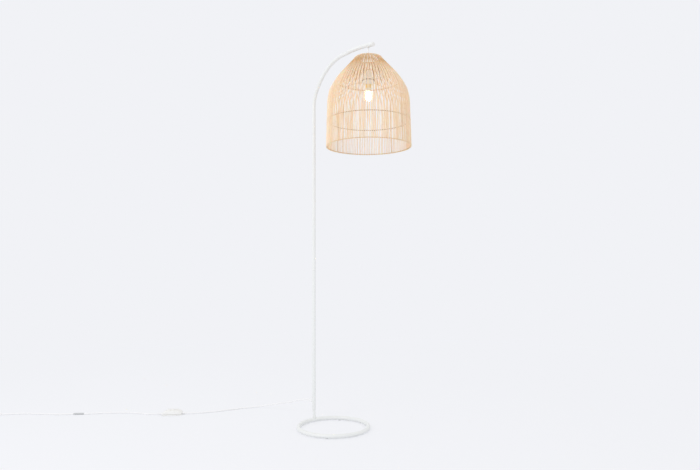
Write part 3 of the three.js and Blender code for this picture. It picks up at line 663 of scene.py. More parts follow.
class Finishes:
    """Every finish of the lamp.

    Turning marks, mould texture, plating and cane fibres are a tenth of a millimetre fine or less. They
    are too fine to show, so each grain is drawn about a millimetre wide.
    """

    # Powder coat baked on steel tube: satin white with a faint orange peel.
    steel = Finish("white_powder_coat_on_steel", "white_steel", "#ECEEED", "#E6E8E8", 0.45, patch=120,
                   grain=1.6, relief=0.008, coat=0.1, spread=0.03)
    # Turned steel under zinc: cool grey metal, a little cloudy.
    zinc = Finish("zinc_plated_turned_steel", "zinc_steel", "#C4C6CA", "#A9ABB0", 0.34, metallic=1.0,
                  patch=12, grain=1.2, relief=0.02)
    # Pressed rubber: greyish white and matt.
    glide = Finish("moulded_glide_rubber", "glide_rubber", "#D6D7D8", "#C4C5C7", 0.62, patch=8, grain=1.0,
                   relief=0.05)
    # Injection-moulded ABS: even, satin, with the mould's faint spark-eroded texture.
    plastic = Finish("moulded_white_abs", "white_plastic", "#F2F2F1", "#EBEAE8", 0.46, patch=30, grain=0.8,
                     relief=0.012, coat=0.05, spread=0.04)
    # Extruded soft PVC: smooth, with a slight sheen and a little dust.
    sheath = Finish("extruded_white_pvc", "cord_white", "#F6F6F7", "#EEEEEF", 0.5, patch=45, grain=1.6,
                    relief=0.015, coat=0.05, spread=0.04)
    # Peeled rattan core: warm off-white rods, no two alike. The fibres run along the upright canes, so
    # the grain is drawn out along Z.
    # Its tone by height is painted light: paler lower down where the bulb lights it, darker in the dome with
    # painted shade.
    cane = UprightCaneFinish("peeled_rattan_core", "cane", "#FAE9D2", "#F2DABA", 0.55, grain=1.1,
                             relief=0.1, stretch=(1.0, 1.0, 0.06), coat=0.12)
    # Split rattan skin that lashes the canes: thin pale strips, matt on their inner side.
    binding = CaneFinish("split_rattan_binding", "cane", "#F6DEBC", "#EACDA3", 0.58, grain=1.4, relief=0.08,
                         stretch=(0.35, 0.35, 1.0), joint_spacing=90, joint_width=1.08)
    # Hoop wire wound with flat cane, close turn by turn: tan, and no metal shows.
    wound = CaneFinish("cane_wound_hoop_wire", "frame_wire", "#E6C598", "#D8B384", 0.6, grain=1.4,
                       relief=0.1, stretch=(0.35, 0.35, 1.0), joint_spacing=90, joint_width=1.08)
    # Steel wire dipped in brown lacquer: dark and satin, thicker and thinner in places.
    wire = Finish("brown_lacquered_wire", "frame_wire", "#A5835D", "#886A4B", 0.48, metallic=0.2, patch=20,
                  grain=1.2, relief=0.03, coat=0.3)
    # Steel wire under a thin tan lacquer: nearly lost against the canes.
    lacquered = Finish("tan_lacquered_wire", "frame_wire", "#E0C094", "#CFAA7C", 0.48, metallic=0.1,
                       patch=20, grain=1.2, relief=0.03, coat=0.2)
    # Bright wire under a clear lacquer: paler than the stays.
    spider = Finish("clear_lacquered_wire", "frame_wire", "#E6D2B8", "#D3BA9A", 0.45, metallic=0.2,
                    patch=20, grain=1.2, relief=0.03, coat=0.3)
    # Pressed and glazed steatite: cream, smooth and a little glossy.
    ceramic = Finish("glazed_steatite", "ceramic", "#ECE8E0", "#DDD8CE", 0.35, patch=8, grain=0.9,
                     relief=0.03)
    # Rolled thin brass: gold with a dull shine, painted paler and warmer with the bulb's glow.
    brass = Finish("rolled_brass_screw_cap", "bulb_brass", "#FFE4A4", "#F6D48A", 0.45, metallic=0.3,
                   patch=9, grain=0.9, relief=0.03)
    # Cast black glass between cap and contact: dark and shiny.
    vitrite = Finish("black_vitrite", "contact_glass", "#232325", "#343437", 0.2, patch=6, grain=0.8,
                     relief=0.02)
    # Blown globe round the light: almost clear, with a faint warm haze.
    opal = LitFinish("lit_opal_glass", "opal_glass", "#FFE9C6", "#FFE0B4", 0.2, patch=30, grain=3,
                     relief=0.01, strength=0.6, alpha=0.06)
    # The light source itself: white-hot, which lights the canes from inside.
    core = LitFinish("glowing_light_engine", "opal_glass", "#FFF6DC", "#FFF0CE", 0.5, patch=12, grain=1,
                     relief=0.01, strength=21.0)
    # Moulded heat-proof plastic: cream and opaque.
    housing = Finish("moulded_bulb_housing", "opal_glass", "#F7F3EA", "#EFE9DC", 0.4, patch=20, grain=1.2,
                     relief=0.01)
    # Shrunk or moulded rubber: pale grey, matt and slightly rough.
    rubber = Finish("moulded_grey_rubber", "grey_rubber", "#CBCDCE", "#BBBDBF", 0.6, patch=10, grain=0.9,
                    relief=0.06)
    # Nickel plate on turned brass: warm silver with a soft shine.
    nickel = Finish("nickel_plated_brass", "pin_nickel", "#D6D5D1", "#BDBCB8", 0.24, metallic=1.0, patch=8,
                    grain=0.8, relief=0.015)


def dress(piece: Object, body: Body, finish: Finish, nodes: Iterable[str] = (),
          sharp: float = 40.0) -> Object:
    """Gives a piece its finish, lets it ride and says what it stands for.

    Args:
        piece: a finished mesh.
        body: the body that it moves with.
        finish: its surface.
        nodes: CAD nodes that it replaces.
        sharp: angle in degrees past which an edge stays sharp.

    Returns:
        The piece.
    """
    mesh = piece.data
    mesh.materials.clear()
    mesh.materials.append(finish.material())
    mesh.polygons.foreach_set("use_smooth", [True] * len(mesh.polygons))
    mesh.set_sharp_from_angle(angle=math.radians(sharp))
    mesh.update()
    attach(piece, body.value)
    if nodes:
        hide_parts(*nodes)
    log.info("%s: %d faces on %s", piece.name, len(mesh.polygons), body.value)
    return piece


def paint(node: str, finish: Finish) -> None:
    """Gives a CAD node whose shape is right its finish.

    Args:
        node: the node's name.
        finish: its surface.
    """
    mesh = frame["nodes"][node].data
    mesh.materials.clear()
    mesh.materials.append(finish.material())
    log.info("%s keeps its CAD shape", node)


# Camera and studio


@dataclass(frozen=True)
class PhotoCamera:
    """The camera at the photograph's place: a level walk-up view of the whole lamp.

    The place is in millimetres from the pole's foot, the angles are in degrees, and the lens and the
    sensor's width are in millimetres. Nothing past reach metres shows.
    """

    site: Site
    place: Place = (2182.0, -1399.0, 652.3)
    heading: float = 143.83
    pitch: float = 3.33
    roll: float = -0.203
    lens: float = 30.43
    sensor: float = 36.0
    reach: float = 60.0

    def build(self) -> None:
        """Adds the camera and makes it the scene's."""
        data = bpy.data.cameras.new("photo_camera")
        data.lens, data.sensor_width, data.clip_end = self.lens, self.sensor, self.reach
        camera = bpy.data.objects.new("photo_camera", data)
        bpy.context.scene.collection.objects.link(camera)
        forward = heading(self.heading) * math.cos(math.radians(self.pitch))
        forward.z = math.sin(math.radians(self.pitch))
        aim = forward.to_track_quat("-Z", "Y").to_matrix().to_4x4()
        camera.matrix_world = (Matrix.Translation(self.site.at(*self.place)) @ aim
                               @ Matrix.Rotation(math.radians(self.roll), 4, "Z"))
        bpy.context.scene.camera = camera


@dataclass(frozen=True)
class Studio:
    """A white cove: floor and surroundings of one pale tone, soft light all round and a broad key lamp.

    Sizes and places are in metres, and the key lamp's power is in watts. The floor shows its own tone up
    to the first of the near distances and the surroundings' tone past the second.
    """

    tone: str = "#F1F2F6"
    floor_tone: str = "#F2F3F7"
    floor_size: float = 16.0
    floor_depth: float = 0.04
    near: tuple[float, float] = (1.2, 3.2)
    cloud_scale: float = 0.8
    shadow: float = 0.36
    fill: float = 0.93
    key_power: float = 26.0
    key_size: float = 1.8
    key_place: Place = (0.7, -3.2, 2.5)
    key_aim: Place = (-0.1, 0.0, 0.7)

    def seen(self, tree: NodeTree) -> NodeSocket:
        """Adds the share of rays that show the surroundings.

        Args:
            tree: the tree of the floor or the world.

        Returns:
            1 for camera, mirror and glass rays, else 0.
        """
        rays = tree.nodes.new("ShaderNodeLightPath").outputs
        both = add_node(tree, "ShaderNodeMath", {0: rays["Is Camera Ray"], 1: rays["Is Glossy Ray"]},
                        operation="MAXIMUM")
        return add_node(tree, "ShaderNodeMath", {0: both, 1: rays["Is Transmission Ray"]},
                        operation="MAXIMUM")

    def world(self) -> None:
        """Even white light, and the pale tone wherever the surroundings show."""
        world = bpy.data.worlds.new("studio_world")
        bpy.context.scene.world = world
        world.use_nodes = True
        world.node_tree.nodes.clear()
        add = partial(add_node, world.node_tree)
        light = add("ShaderNodeBackground", {"Color": linear("#FFFFFF"), "Strength": self.fill})
        shown = add("ShaderNodeBackground", {"Color": linear(self.tone), "Strength": 1.0})
        mixed = add("ShaderNodeMixShader", {0: self.seen(world.node_tree), 1: light, 2: shown})
        add("ShaderNodeOutputWorld", {"Surface": mixed})

    def floor_material(self) -> bpy.types.Material:
        """Paint that shows its tone as it is written, and keeps a part of the lamp's shadow.

        Returns:
            The floor's material.
        """
        made = bpy.data.materials.new("painted_cove_floor")
        made.use_nodes = True
        made.node_tree.nodes.clear()
        add = partial(add_node, made.node_tree)
        where = add("ShaderNodeTexCoord", out="Object")
        cloud = add("ShaderNodeTexNoise", {"Vector": where, "Scale": self.cloud_scale, "Detail": 2.0})
        distance = add("ShaderNodeVectorMath", {0: where}, out="Value", operation="LENGTH")
        near = add("ShaderNodeMapRange", {
            "Value": distance, "From Min": self.near[0], "From Max": self.near[1],
            "To Min": 1.0, "To Max": 0.0}, interpolation_type="SMOOTHSTEP")
        mottled = add("ShaderNodeMath", {0: near, 1: cloud, 2: near}, operation="MULTIPLY_ADD")
        nearness = add("ShaderNodeMath", {0: mottled, 1: 1.0}, operation="MINIMUM")
        tint = add("ShaderNodeMix", {0: nearness, 6: linear(self.tone), 7: linear(self.floor_tone)}, out=2,
                   data_type="RGBA")
        painted = add("ShaderNodeBsdfDiffuse", {"Color": tint})
        shown = add("ShaderNodeEmission", {"Color": tint, "Strength": 1.0})
        keep = add("ShaderNodeMath", {0: near, 1: -self.shadow, 2: 1.0}, operation="MULTIPLY_ADD")
        share = add("ShaderNodeMath", {0: self.seen(made.node_tree), 1: keep}, operation="MULTIPLY")
        mixed = add("ShaderNodeMixShader", {0: share, 1: painted, 2: shown})
        add("ShaderNodeOutputMaterial", {"Surface": mixed})
        return made

    def floor(self) -> None:
        """The wide floor slab, whose top lies at height 0."""
        half, depth = self.floor_size / 2 / MM, self.floor_depth / MM
        outline = [(-half, -depth), (half, -depth), (half, 0.0), (-half, 0.0)]
        floor = Shape().prism(outline, -half, half, Matrix.Identity(4)).piece("studio_floor")
        floor.data.materials.append(self.floor_material())

    def key(self) -> None:
        """The broad soft lamp that stands before the lamp on its left."""
        data = bpy.data.lights.new("key_lamp", "AREA")
        data.shape, data.size, data.energy = "DISK", self.key_size, self.key_power
        lamp = bpy.data.objects.new("key_lamp", data)
        bpy.context.scene.collection.objects.link(lamp)
        lamp.location = self.key_place
        aim = Vector(self.key_aim) - Vector(self.key_place)
        lamp.rotation_euler = aim.to_track_quat("-Z", "Y").to_euler()

    def build(self) -> None:
        """Builds the cove and its light."""
        self.world()
        self.floor()
        self.key()
        bpy.context.scene.view_settings.view_transform = "Standard"


# Mains cord


@dataclass
class MainsCord:
    """The free mains cord: three stretches from the pole to the plug, the last one with a tied coil.

    Sizes and routes are in millimetres from the pole's foot, and headings are in degrees. Lay is the
    height of the cord's middle on the floor, run how far it goes straight where it leaves a piece, and
    step the distance between the points of its line.
    """

    site: Site
    diameter: float = 6.0
    lay: float = 3.1
    run: float = 12.0
    step: float = 4.0
    sides: int = 16
    gap: float = 0.3
    relief: float = 26.0
    exit_height: float = 86.0
    switch_centre: tuple[float, float] = (-485.0, -446.0)
    switch_heading: float = -121.7
    switch_length: float = 86.0
    switch_height: float = 5.6
    switch_relief: float = 20.0
    sleeve_centre: tuple[float, float] = (-740.5, -786.5)
    sleeve_heading: float = -121.4
    sleeve_length: float = 46.0
    sleeve_height: float = 4.3
    coil_start: tuple[float, float] = (-999.0, -1153.0)
    coil_heading: float = -121.7
    coil_turns: int = 4
    coil_steps: int = 60
    coil_inside: float = 26.4
    coil_pitch: float = 6.6
    coil_foot: float = 4.2
    run_out: float = 26.0
    descent: float = 22.0
    descent_steps: int = 20
    plug_height: float = 6.9
    near_route: tuple[Place, ...] = (
        (-77, 0, 80.5), (-122, 0, 70), (-172, -5, 55.5), (-226, -11, 42), (-282, -23, 28), (-334, -43, 15),
        (-374, -77, 6), (-396, -130, 3.1), (-405, -188, 3.1), (-412, -245, 3.1), (-423, -302, 3.1),
        (-435, -350, 3.8))
    mid_route: tuple[Place, ...] = (
        (-549, -533, 3.1), (-584, -557, 3.1), (-622, -586, 3.1), (-654, -624, 3.1), (-682, -666, 3.1),
        (-704, -711, 3.1))
    far_route: tuple[Place, ...] = (
        (-784, -851, 3.1), (-817, -889, 3.1), (-852, -925, 3.1), (-887, -962, 3.1), (-912, -999, 3.1),
        (-932, -1040, 3.1), (-954, -1080, 3.1))

    def on_switch(self, distance: float) -> Vector:
        """The place on the cord's line through the switch, so far from its middle."""
        middle = self.site.at(*self.switch_centre, self.switch_height)
        return middle + heading(self.switch_heading) * distance * MM

    def on_sleeve(self, distance: float) -> Vector:
        """The place on the sleeve's line, so far from its middle."""
        middle = self.site.at(*self.sleeve_centre, self.sleeve_height)
        return middle + heading(self.sleeve_heading) * distance * MM

    def stretch(self, start: Vector, away: Vector, route: Sequence[Place], end: Vector,
                onto: Vector) -> list[Vector]:
        """Draws the cord's line between two pieces, straight where it leaves one and meets the other.

        Args:
            start: where the cord leaves the first piece.
            away: its direction there.
            route: places given one by one between the pieces.
            end: where it meets the second piece.
            onto: its direction there.

        Returns:
            The line's points.
        """
        first, last = start + away * self.gap * MM, end - onto * self.gap * MM
        run = self.run * MM
        hand = [self.site.at(*place) for place in route]
        points = smooth_route([first, first + away * run, *hand, last - onto * run, last], self.step * MM)
        for point in points:
            point.z = max(point.z, self.lay * MM)
        return points

    def coil_point(self, turn: float, radius: float, height: float) -> Vector:
        """Finds a place in the coil.

        Args:
            turn: turns from the coil's entry.
            radius: distance from its middle.
            height: height above the floor.

        Returns:
            The place.
        """
        along = heading(self.coil_heading)
        entry = self.site.at(*self.coil_start, 0.0) + along * (self.gap + self.diameter) * MM
        outside = self.coil_inside + self.coil_turns / 2 * self.coil_pitch
        middle = entry + heading(self.coil_heading - 90) * outside * MM
        point = middle + heading(self.coil_heading + 90 - turn * 360) * radius * MM
        point.z = height * MM
        return point

    def coil(self) -> list[Vector]:
        """Winds the coil: in on the lower layer, up, out on the upper one and down to the plug.

        Returns:
            The line's points.
        """
        along = heading(self.coil_heading)
        points = []
        for i in range(self.coil_turns * self.coil_steps + 1):
            turn = i / self.coil_steps
            from_middle = turn - self.coil_turns / 2
            # The cord climbs to the upper layer within the half turn round the coil's middle.
            climbed = eased(from_middle * 2 + 0.5)
            radius = self.coil_inside + abs(from_middle) * self.coil_pitch
            points.append(self.coil_point(turn, radius, self.coil_foot + climbed * self.coil_pitch))
        high = points[-1]
        reach = self.run_out + self.descent
        low = high + along * reach * MM
        low.z = self.plug_height * MM
        for i in range(1, self.descent_steps + 1):
            t = i / self.descent_steps
            point = high.lerp(low, t)
            point.z = high.z + (low.z - high.z) * eased((t * reach - self.run_out) / self.descent)
            points.append(point)
        points.append(low + along * self.diameter * MM)
        return points

    def lines(self) -> tuple[list[Vector], list[Vector], list[Vector]]:
        """Draws the three stretches.

        Returns:
            Their lines: pole to switch, switch to sleeve, sleeve to plug.
        """
        back, on_switch, on_sleeve = heading(180), heading(self.switch_heading), heading(self.sleeve_heading)
        relief_end = self.site.at(-self.site.tube / 2 - self.relief, 0, self.exit_height)
        reach, half = self.switch_length / 2 + self.switch_relief, self.sleeve_length / 2
        near = self.stretch(relief_end, back, self.near_route, self.on_switch(-reach), on_switch)
        mid = self.stretch(self.on_switch(reach), on_switch, self.mid_route, self.on_sleeve(-half), on_sleeve)
        coil_start = self.site.at(*self.coil_start, self.coil_foot)
        far = self.stretch(self.on_sleeve(half), on_sleeve, self.far_route, coil_start,
                           heading(self.coil_heading))
        return near, mid, far + self.coil()

    def build(self, near_with: Sequence[Object], mid_with: Sequence[Object],
              far_with: Sequence[Object]) -> None:
        """Lays the cord's three stretches.

        Args:
            near_with: pieces on the stretch from the pole to the switch; not used.
            mid_with: pieces on the stretch from the switch to the sleeve; not used.
            far_with: pieces on the stretch from the sleeve to the plug; not used.
        """
        for name, line, nodes, far_end, lay, pieces in zip(
                ("mains_cord_near", "mains_cord_mid", "mains_cord_far"), self.lines(),
                (("cord_near",), ("cord_mid",), ("cord_far", "cord_coil")), ("fitting", "fitting", "plug"),
                ("loose", "loose", "coiled"), (near_with, mid_with, far_with)):
            sheath = Shape().tube(line, self.diameter / 2 * MM, self.sides).piece(name)
            dress(sheath, Body.STAND, Finishes.sheath, nodes)


def relief_profile(length: float, root: float = 9.4, tip: float = 7.0, flange: float = 1.6,
                   ribs: int = 5) -> Profile:
    """Draws the outline of a moulded strain relief: a spigot, a flange, then ribs that taper to the cord.

    Args:
        length: how far it stands out, in millimetres.
        root: diameter of its flange.
        tip: diameter at the cord.
        flange: thickness of its flange.
        ribs: count of its ribs.

    Returns:
        The outline for a lathe.
    """
    spigot, depth, edge, groove, draft = 3.8, 1.6, 0.3, 0.8, 0.05
    profile = [(0.0, -depth), (spigot, -depth), (spigot, edge), (root / 2 - edge, edge),
               (root / 2, 2 * edge), (root / 2, flange)]
    rib = (length - flange) / ribs
    for i in range(ribs):
        low = flange + rib * i
        at = root / 2 + (tip - root) / 2 * (i + 0.5) / ribs
        # Shares of a rib's length: the groove's floor, the rib's near edge and its far edge
        profile += [(at - groove, low + 0.15 * rib), (at - groove, low + 0.35 * rib), (at, low + 0.5 * rib),
                    (at - draft, low + 0.95 * rib)]
    return profile + [(tip / 2 - edge, length), (0.0, length)]


@dataclass
class CordPieces:
    """What sits on the mains cord: strain reliefs, foot switch, sleeve, tie and plug, in millimetres."""

    cord: MainsCord
    clearance: float = 0.3
    switch_width: float = 48.0
    switch_top: float = 22.0
    switch_end: float = 11.0
    switch_flat: float = 22.36
    cover_rounding: float = 3.0
    tray: float = 5.0
    tray_rounding: float = 1.2
    button: float = 20.0
    button_rise: float = 3.4
    button_foot: float = 14.2
    sleeve_thickness: float = 8.4
    tie_slack: float = 0.3
    tie_thickness: float = 0.7
    tie_width: float = 5.0
    plug_relief: float = 22.0
    plug_length: float = 36.0
    plug_width: float = 35.0
    plug_thickness: float = 13.6
    plug_rounding: float = 1.8
    grips: int = 5
    grip_start: float = 19.0
    grip_pitch: float = 2.6
    pin: float = 4.0
    pin_length: float = 19.0
    pin_depth: float = 7.7
    pin_spacing: float = 18.6

    def relief(self, node: str, length: float, root: Vector, along: Vector) -> Object:
        """Adds a strain relief, whose flange sits at the root and which stands out along a direction."""
        piece = Shape().lathe(relief_profile(length), facing(along, root), 28).piece(node + "_moulding")
        return dress(piece, Body.STAND, Finishes.sheath, [node], sharp=50)

    def switch_outline(self, foot: float, top: float) -> Profile:
        """Draws the switch's side, cut off between two heights.

        Args:
            foot: where the part starts.
            top: where it ends.

        Returns:
            The outline's corners.
        """
        half, end, flat = self.cord.switch_length / 2, self.switch_end, self.switch_flat
        whole = [(-half, foot), (half, foot)]
        if top <= end:
            return whole + [(half, top), (-half, top)]
        return whole + [(half, end), (flat, top), (-flat, top), (-half, end)]

    def switch(self) -> list[Object]:
        """Adds the foot switch: cover with its button well, tray and button.

        Returns:
            The three pieces.
        """
        cord, half, steps = self.cord, self.switch_width / 2, 64
        place = along_floor(cord.switch_heading, cord.site.at(*cord.switch_centre, 0.0))
        outside = self.switch_outline(self.tray + self.clearance, self.switch_top)
        cover = Shape().prism(outside, -half, half, place).piece("foot_switch_cover")
        round_edges(cover, self.cover_rounding, 5)
        hole, flare, top = self.button / 2 + self.clearance, 1.4, self.switch_top
        well = [(0, self.tray), (hole, self.tray), (hole, top - flare), (hole + flare, top + 1),
                (hole + flare, top + 4), (0, top + 4)]
        carve(cover, Shape().lathe(well, place, steps))
        outside = self.switch_outline(self.clearance, self.tray)
        tray = Shape().prism(outside, -half, half, place).piece("foot_switch_tray")
        round_edges(tray, self.tray_rounding, 3)
        r, top = self.button / 2, self.switch_top + self.button_rise
        # The button's edge is rounded and its face is dished for the foot.
        dish = [(0, self.button_foot), (r, self.button_foot), (r, top - 1.4), (r - 0.5, top - 0.5),
                (r - 1.4, top), (r - 2.4, top - 0.1), (r - 4.5, top - 0.7), (r - 7.5, top - 1.1),
                (0, top - 1.2)]
        button = Shape().lathe(dish, place, steps).piece("foot_switch_button")
        return [dress(cover, Body.STAND, Finishes.plastic, ["switch_cover"]),
                dress(tray, Body.STAND, Finishes.plastic, ["switch_tray"]),
                dress(button, Body.BUTTON, Finishes.plastic, ["switch_button"])]

    def sleeve(self) -> Object:
        """Adds the shrunk rubber sleeve over the joint in the cord.

        Returns:
            The piece.
        """
        length, r, dip = self.cord.sleeve_length, self.sleeve_thickness / 2, 0.1
        # Both ends shrink onto the cord, and the middle dips a little between the joint's wires.
        end = [(3.1, 0.0), (3.3, 0.5), (3.6, 3.0), (4.0, 5.5), (r, 8.0)]
        profile = [(0.0, 0.0), *end, (r - dip, 15.0), (r, 23.0), (r - dip, 31.0),
                   *((a, length - z) for a, z in reversed(end)), (0.0, length)]
        place = facing(heading(self.cord.sleeve_heading), self.cord.on_sleeve(-length / 2))
        piece = Shape().lathe(profile, place, 32).piece("splice_sleeve_tube")
        return dress(piece, Body.STAND, Finishes.rubber, ["splice_sleeve"])

    def tie(self) -> Object:
        """Adds the flat tie round both layers of the coil.

        Returns:
            The piece.
        """
        cord, corners, squareness = self.cord, 40, 5
        middle = cord.coil_point(0.5, cord.coil_inside + cord.coil_pitch,
                                 cord.coil_foot + cord.coil_pitch / 2)
        along, across = heading(cord.coil_heading), heading(cord.coil_heading + 90)
        half = (cord.coil_pitch + cord.diameter) / 2 + self.tie_slack
        side = along * self.tie_width / 2 * MM
        rings = []
        for corner in range(corners):
            angle = 2 * math.pi * corner / corners
            # A squarish loop: the band follows the bundle's rounded corners.
            c, s = math.cos(angle), math.sin(angle)
            reach = 1 / (abs(c) ** squareness + abs(s) ** squareness) ** (1 / squareness)
            out = (across * c + Vector((0, 0, s))) * reach
            inner, outer = (middle + out * size * MM for size in (half, half + self.tie_thickness))
            rings.append([inner - side, outer - side, outer + side, inner + side])
        piece = Shape().skin(rings, closed=True).piece("coil_tie_band")
        return dress(piece, Body.STAND, Finishes.plastic, ["coil_tie"])

    def grip_grooves(self, place: Matrix) -> Shape:
        """Draws the finger grooves across both faces of the plug.

        Args:
            place: where the plug lies.

        Returns:
            The space that they take out.
        """
        lift, outer, inner, radius = self.plug_thickness / 2 + 0.25, 6.5, 0.2, 0.62
        grooves = Shape()
        for i in range(self.grips):
            x = self.grip_start + self.grip_pitch * i
            for side in (-1, 1):
                for face in (-1, 1):
                    a, b = (place @ Vector((x * MM, side * y * MM, face * lift * MM)) for y in (outer, inner))
                    grooves.tube([a, a.lerp(b, 0.5), b], radius * MM, 8)
        return grooves

    def plug(self) -> list[Object]:
        """Adds the flat two-pin plug: waisted body with finger grips, and its pins.

        Returns:
            Its pieces.
        """
        cord = self.cord
        along = heading(cord.coil_heading)
        back = cord.lines()[2][-1] + along * (cord.gap + self.plug_relief) * MM
        place = along_floor(cord.coil_heading, back)
        w, half = self.plug_width / 2, self.plug_thickness / 2
        length, step = self.plug_length, 0.8
        # From the cord's end to the pins' end, along one side: narrow, then waisted out to its full width
        edge = [(0.0, -7.4), (5.0, -8.6), (10.0, -12.4), (14.5, -16.4), (17.0, w * -0.985), (22.0, -w),
                (length - step, -w), (length, -w + step)]
        outline = edge + [(x, -y) for x, y in reversed(edge)]
        flat = place @ Matrix.Rotation(math.radians(90), 4, "X")
        body = Shape().prism(outline, -half, half, flat).piece("plug_moulding")
        round_edges(body, self.plug_rounding, 4)
        carve(body, self.grip_grooves(place))
        made = [dress(body, Body.STAND, Finishes.plastic, ["plug_body"])]
        r, reach = self.pin / 2, self.pin_depth + self.pin_length
        rod = [(0, 0), (r, 0), (r, reach - 1.4), (r * 0.8, reach - 0.5), (r * 0.45, reach), (0, reach)]
        for node, side in (("plug_pin_left", 1), ("plug_pin_right", -1)):
            root = place @ Vector(((length - self.pin_depth) * MM, side * self.pin_spacing / 2 * MM, 0))
            pin = Shape().lathe(rod, facing(along, root), 24).piece(node + "_rod")
            made.append(dress(pin, Body.STAND, Finishes.nickel, [node]))
        return made

    def build(self) -> tuple[list[Object], list[Object], list[Object]]:
        """Builds the pieces.

        Returns:
            Those that go with the cord's near, middle and far stretch.
        """
        cord = self.cord
        exit_root = cord.site.at(-cord.site.tube / 2, 0, cord.exit_height)
        on_switch, half = heading(cord.switch_heading), cord.switch_length / 2
        exit_relief = self.relief("cord_relief", cord.relief, exit_root, heading(180))
        into = self.relief("switch_relief_in", cord.switch_relief, cord.on_switch(-half), -on_switch)
        out_of = self.relief("switch_relief_out", cord.switch_relief, cord.on_switch(half), on_switch)
        switch = self.switch()
        hidden = []
        for node, finish in (("switch_screw_1", Finishes.zinc), ("switch_screw_2", Finishes.zinc),
                             ("switch_mechanism", Finishes.rubber)):
            paint(node, finish)
            hidden.append(frame["nodes"][node])
        along = heading(cord.coil_heading)
        plug_face = cord.lines()[2][-1] + along * (cord.gap + self.plug_relief) * MM
        plug_relief = self.relief("plug_relief", self.plug_relief, plug_face, -along)
        return ([exit_relief, into, *switch, *hidden], [out_of, self.sleeve()],
                [self.tie(), plug_relief, *self.plug()])


# Stand


@dataclass
class SteelStand:
    """The foot ring with its stub, the pole and the arm, in millimetres."""

    site: Site
    pivot: Vector
    bar: float = 16.0
    ring_radius: float = 143.0
    ring_ahead: float = 6.2
    ring_height: float = 10.0
    wall: float = 1.5
    foot: float = 48.0
    lower_seam: float = 649.0
    upper_seam: float = 1250.0
    bend_start: float = 1370.0
    bend_step: float = 9.0
    # Radius in millimetres and turn in degrees of the arm's bends
    bends: tuple[tuple[float, float], ...] = ((112.0, 32.6), (238.0, 55.0), (903.0, 13.9))
    # Height and radius of the screw's hole and of the cord's
    holes: tuple[tuple[float, float], ...] = ((62.0, 2.9), (86.0, 4.1))
    gap: float = 0.3

    def ring(self) -> None:
        """The bent ring and its four glides."""
        glides, first_glide = 4, 45
        middle = self.site.at(self.ring_ahead + self.ring_radius, 0, self.ring_height)
        line = circle(middle, self.ring_radius, 180)
        ring = Shape().tube(line, self.bar / 2 * MM, 28, closed=True).piece("foot_ring_bar")
        dress(ring, Body.STAND, Finishes.steel, ["base_ring"])
        pad = [(0, 0), (4.4, 0), (5, 0.5), (5, 2.6), (4.6, 3.4), (0, 3.4)]
        for i in range(glides):
            place = middle + heading(first_glide + 360 / glides * i) * self.ring_radius * MM
            place.z = 0
            glide = Shape().lathe(pad, Matrix.Translation(place), 32).piece(f"foot_glide_{i + 1}")
            dress(glide, Body.STAND, Finishes.glide, [f"glide_{i + 1}"])

    def weld(self, shape: Shape, foot: Vector, along: Vector, radius: float) -> None:
        """Adds the rippled weld bead where the stub meets the ring.

        Args:
            shape: the stub's shape, which the bead joins.
            foot: the middle of the ring's bar there, in metres.
            along: the stub's direction.
            radius: the stub's radius in millimetres.
        """
        count, ripples, ripple, thickness = 72, 18, 0.18, 1.35
        spread, above, fall = 0.5, 0.7, 1.9
        seat = foot + along * (self.bar / 2 + above) * MM
        side = along.orthogonal().normalized()
        other = along.cross(side)
        bead, radii = [], []
        for i in range(count):
            angle = 2 * math.pi * i / count
            # The bead lies lower where the round bar falls away.
            out = (side * math.cos(angle) + other * math.sin(angle)).normalized()
            bead.append(seat + out * (radius + spread) * MM - along * fall * out.x ** 2 * MM)
            radii.append((thickness + ripple * math.sin(ripples * angle)) * MM)
        shape.tube(bead, radii, 10, closed=True)

    def stub(self) -> None:
        """The slimmer stub that rises from the ring into the pole, with its weld bead."""
        foot, bend = self.site.at(self.ring_ahead, 0, self.ring_height), self.site.at(0, 0, self.foot - 2)
        knee, top = self.site.at(0, 0, self.foot + 8), self.site.at(0, 0, self.foot + 28)
        bend_from, steps = 0.82, 8
        near = foot.lerp(bend, bend_from)
        shares = [i / steps for i in range(steps + 1)]
        curve = [near.lerp(bend, t).lerp(bend.lerp(knee, t), t) for t in shares]
        radius = (self.site.tube - 2 * self.wall - 2 * self.gap) / 2
        shape = Shape().tube([foot, foot.lerp(near, 0.5), *curve, top], radius * MM, 28)
        self.weld(shape, foot, (bend - foot).normalized(), radius)
        dress(shape.piece("foot_stub_rod"), Body.STAND, Finishes.steel, ["foot_stub"], sharp=60)

    def length_of_tube(self, name: str, low: float, high: float) -> Object:
        """Adds a straight length of the pole, with the small roundings of its cut ends.

        Args:
            name: the piece's name.
            low: height at which it starts.
            high: height at which it ends.

        Returns:
            The piece.
        """
        r, bore, spacing = self.site.tube / 2, self.site.tube / 2 - self.wall, 60
        foot_edge, top_edge = 0.35, 0.2
        rings = max(2, round((high - low) / spacing))
        profile = [(bore, low), (r - foot_edge, low), (r, low + foot_edge),
                   *((r, low + (high - low) * i / rings) for i in range(1, rings)),
                   (r, high - top_edge), (r - top_edge, high), (bore, high), (bore, low)]
        return Shape().lathe(profile, Matrix.Translation(self.site.at(0, 0, 0)), 40).piece(name)

    def pole(self) -> None:
        """The pole's two straight lengths, the lower one with its screw and cord holes."""
        lower = self.length_of_tube("pole_lower_tube", self.foot, self.lower_seam - self.gap / 2)
        for height, radius in self.holes:
            # The drill goes through the back wall only.
            hole = facing(heading(180), self.site.at(-self.site.tube / 2 + 2 * self.wall, 0, height))
            carve(lower, Shape().lathe([(0, 0), (radius, 0), (radius, 8), (0, 8)], hole, 32))
        dress(lower, Body.STAND, Finishes.steel, ["pole_lower"])
        upper = self.length_of_tube("pole_upper_tube", self.lower_seam + self.gap / 2,
                                    self.upper_seam - self.gap / 2)
        dress(upper, Body.STAND, Finishes.steel, ["pole_upper"])
        paint("foot_grub_screw", Finishes.zinc)

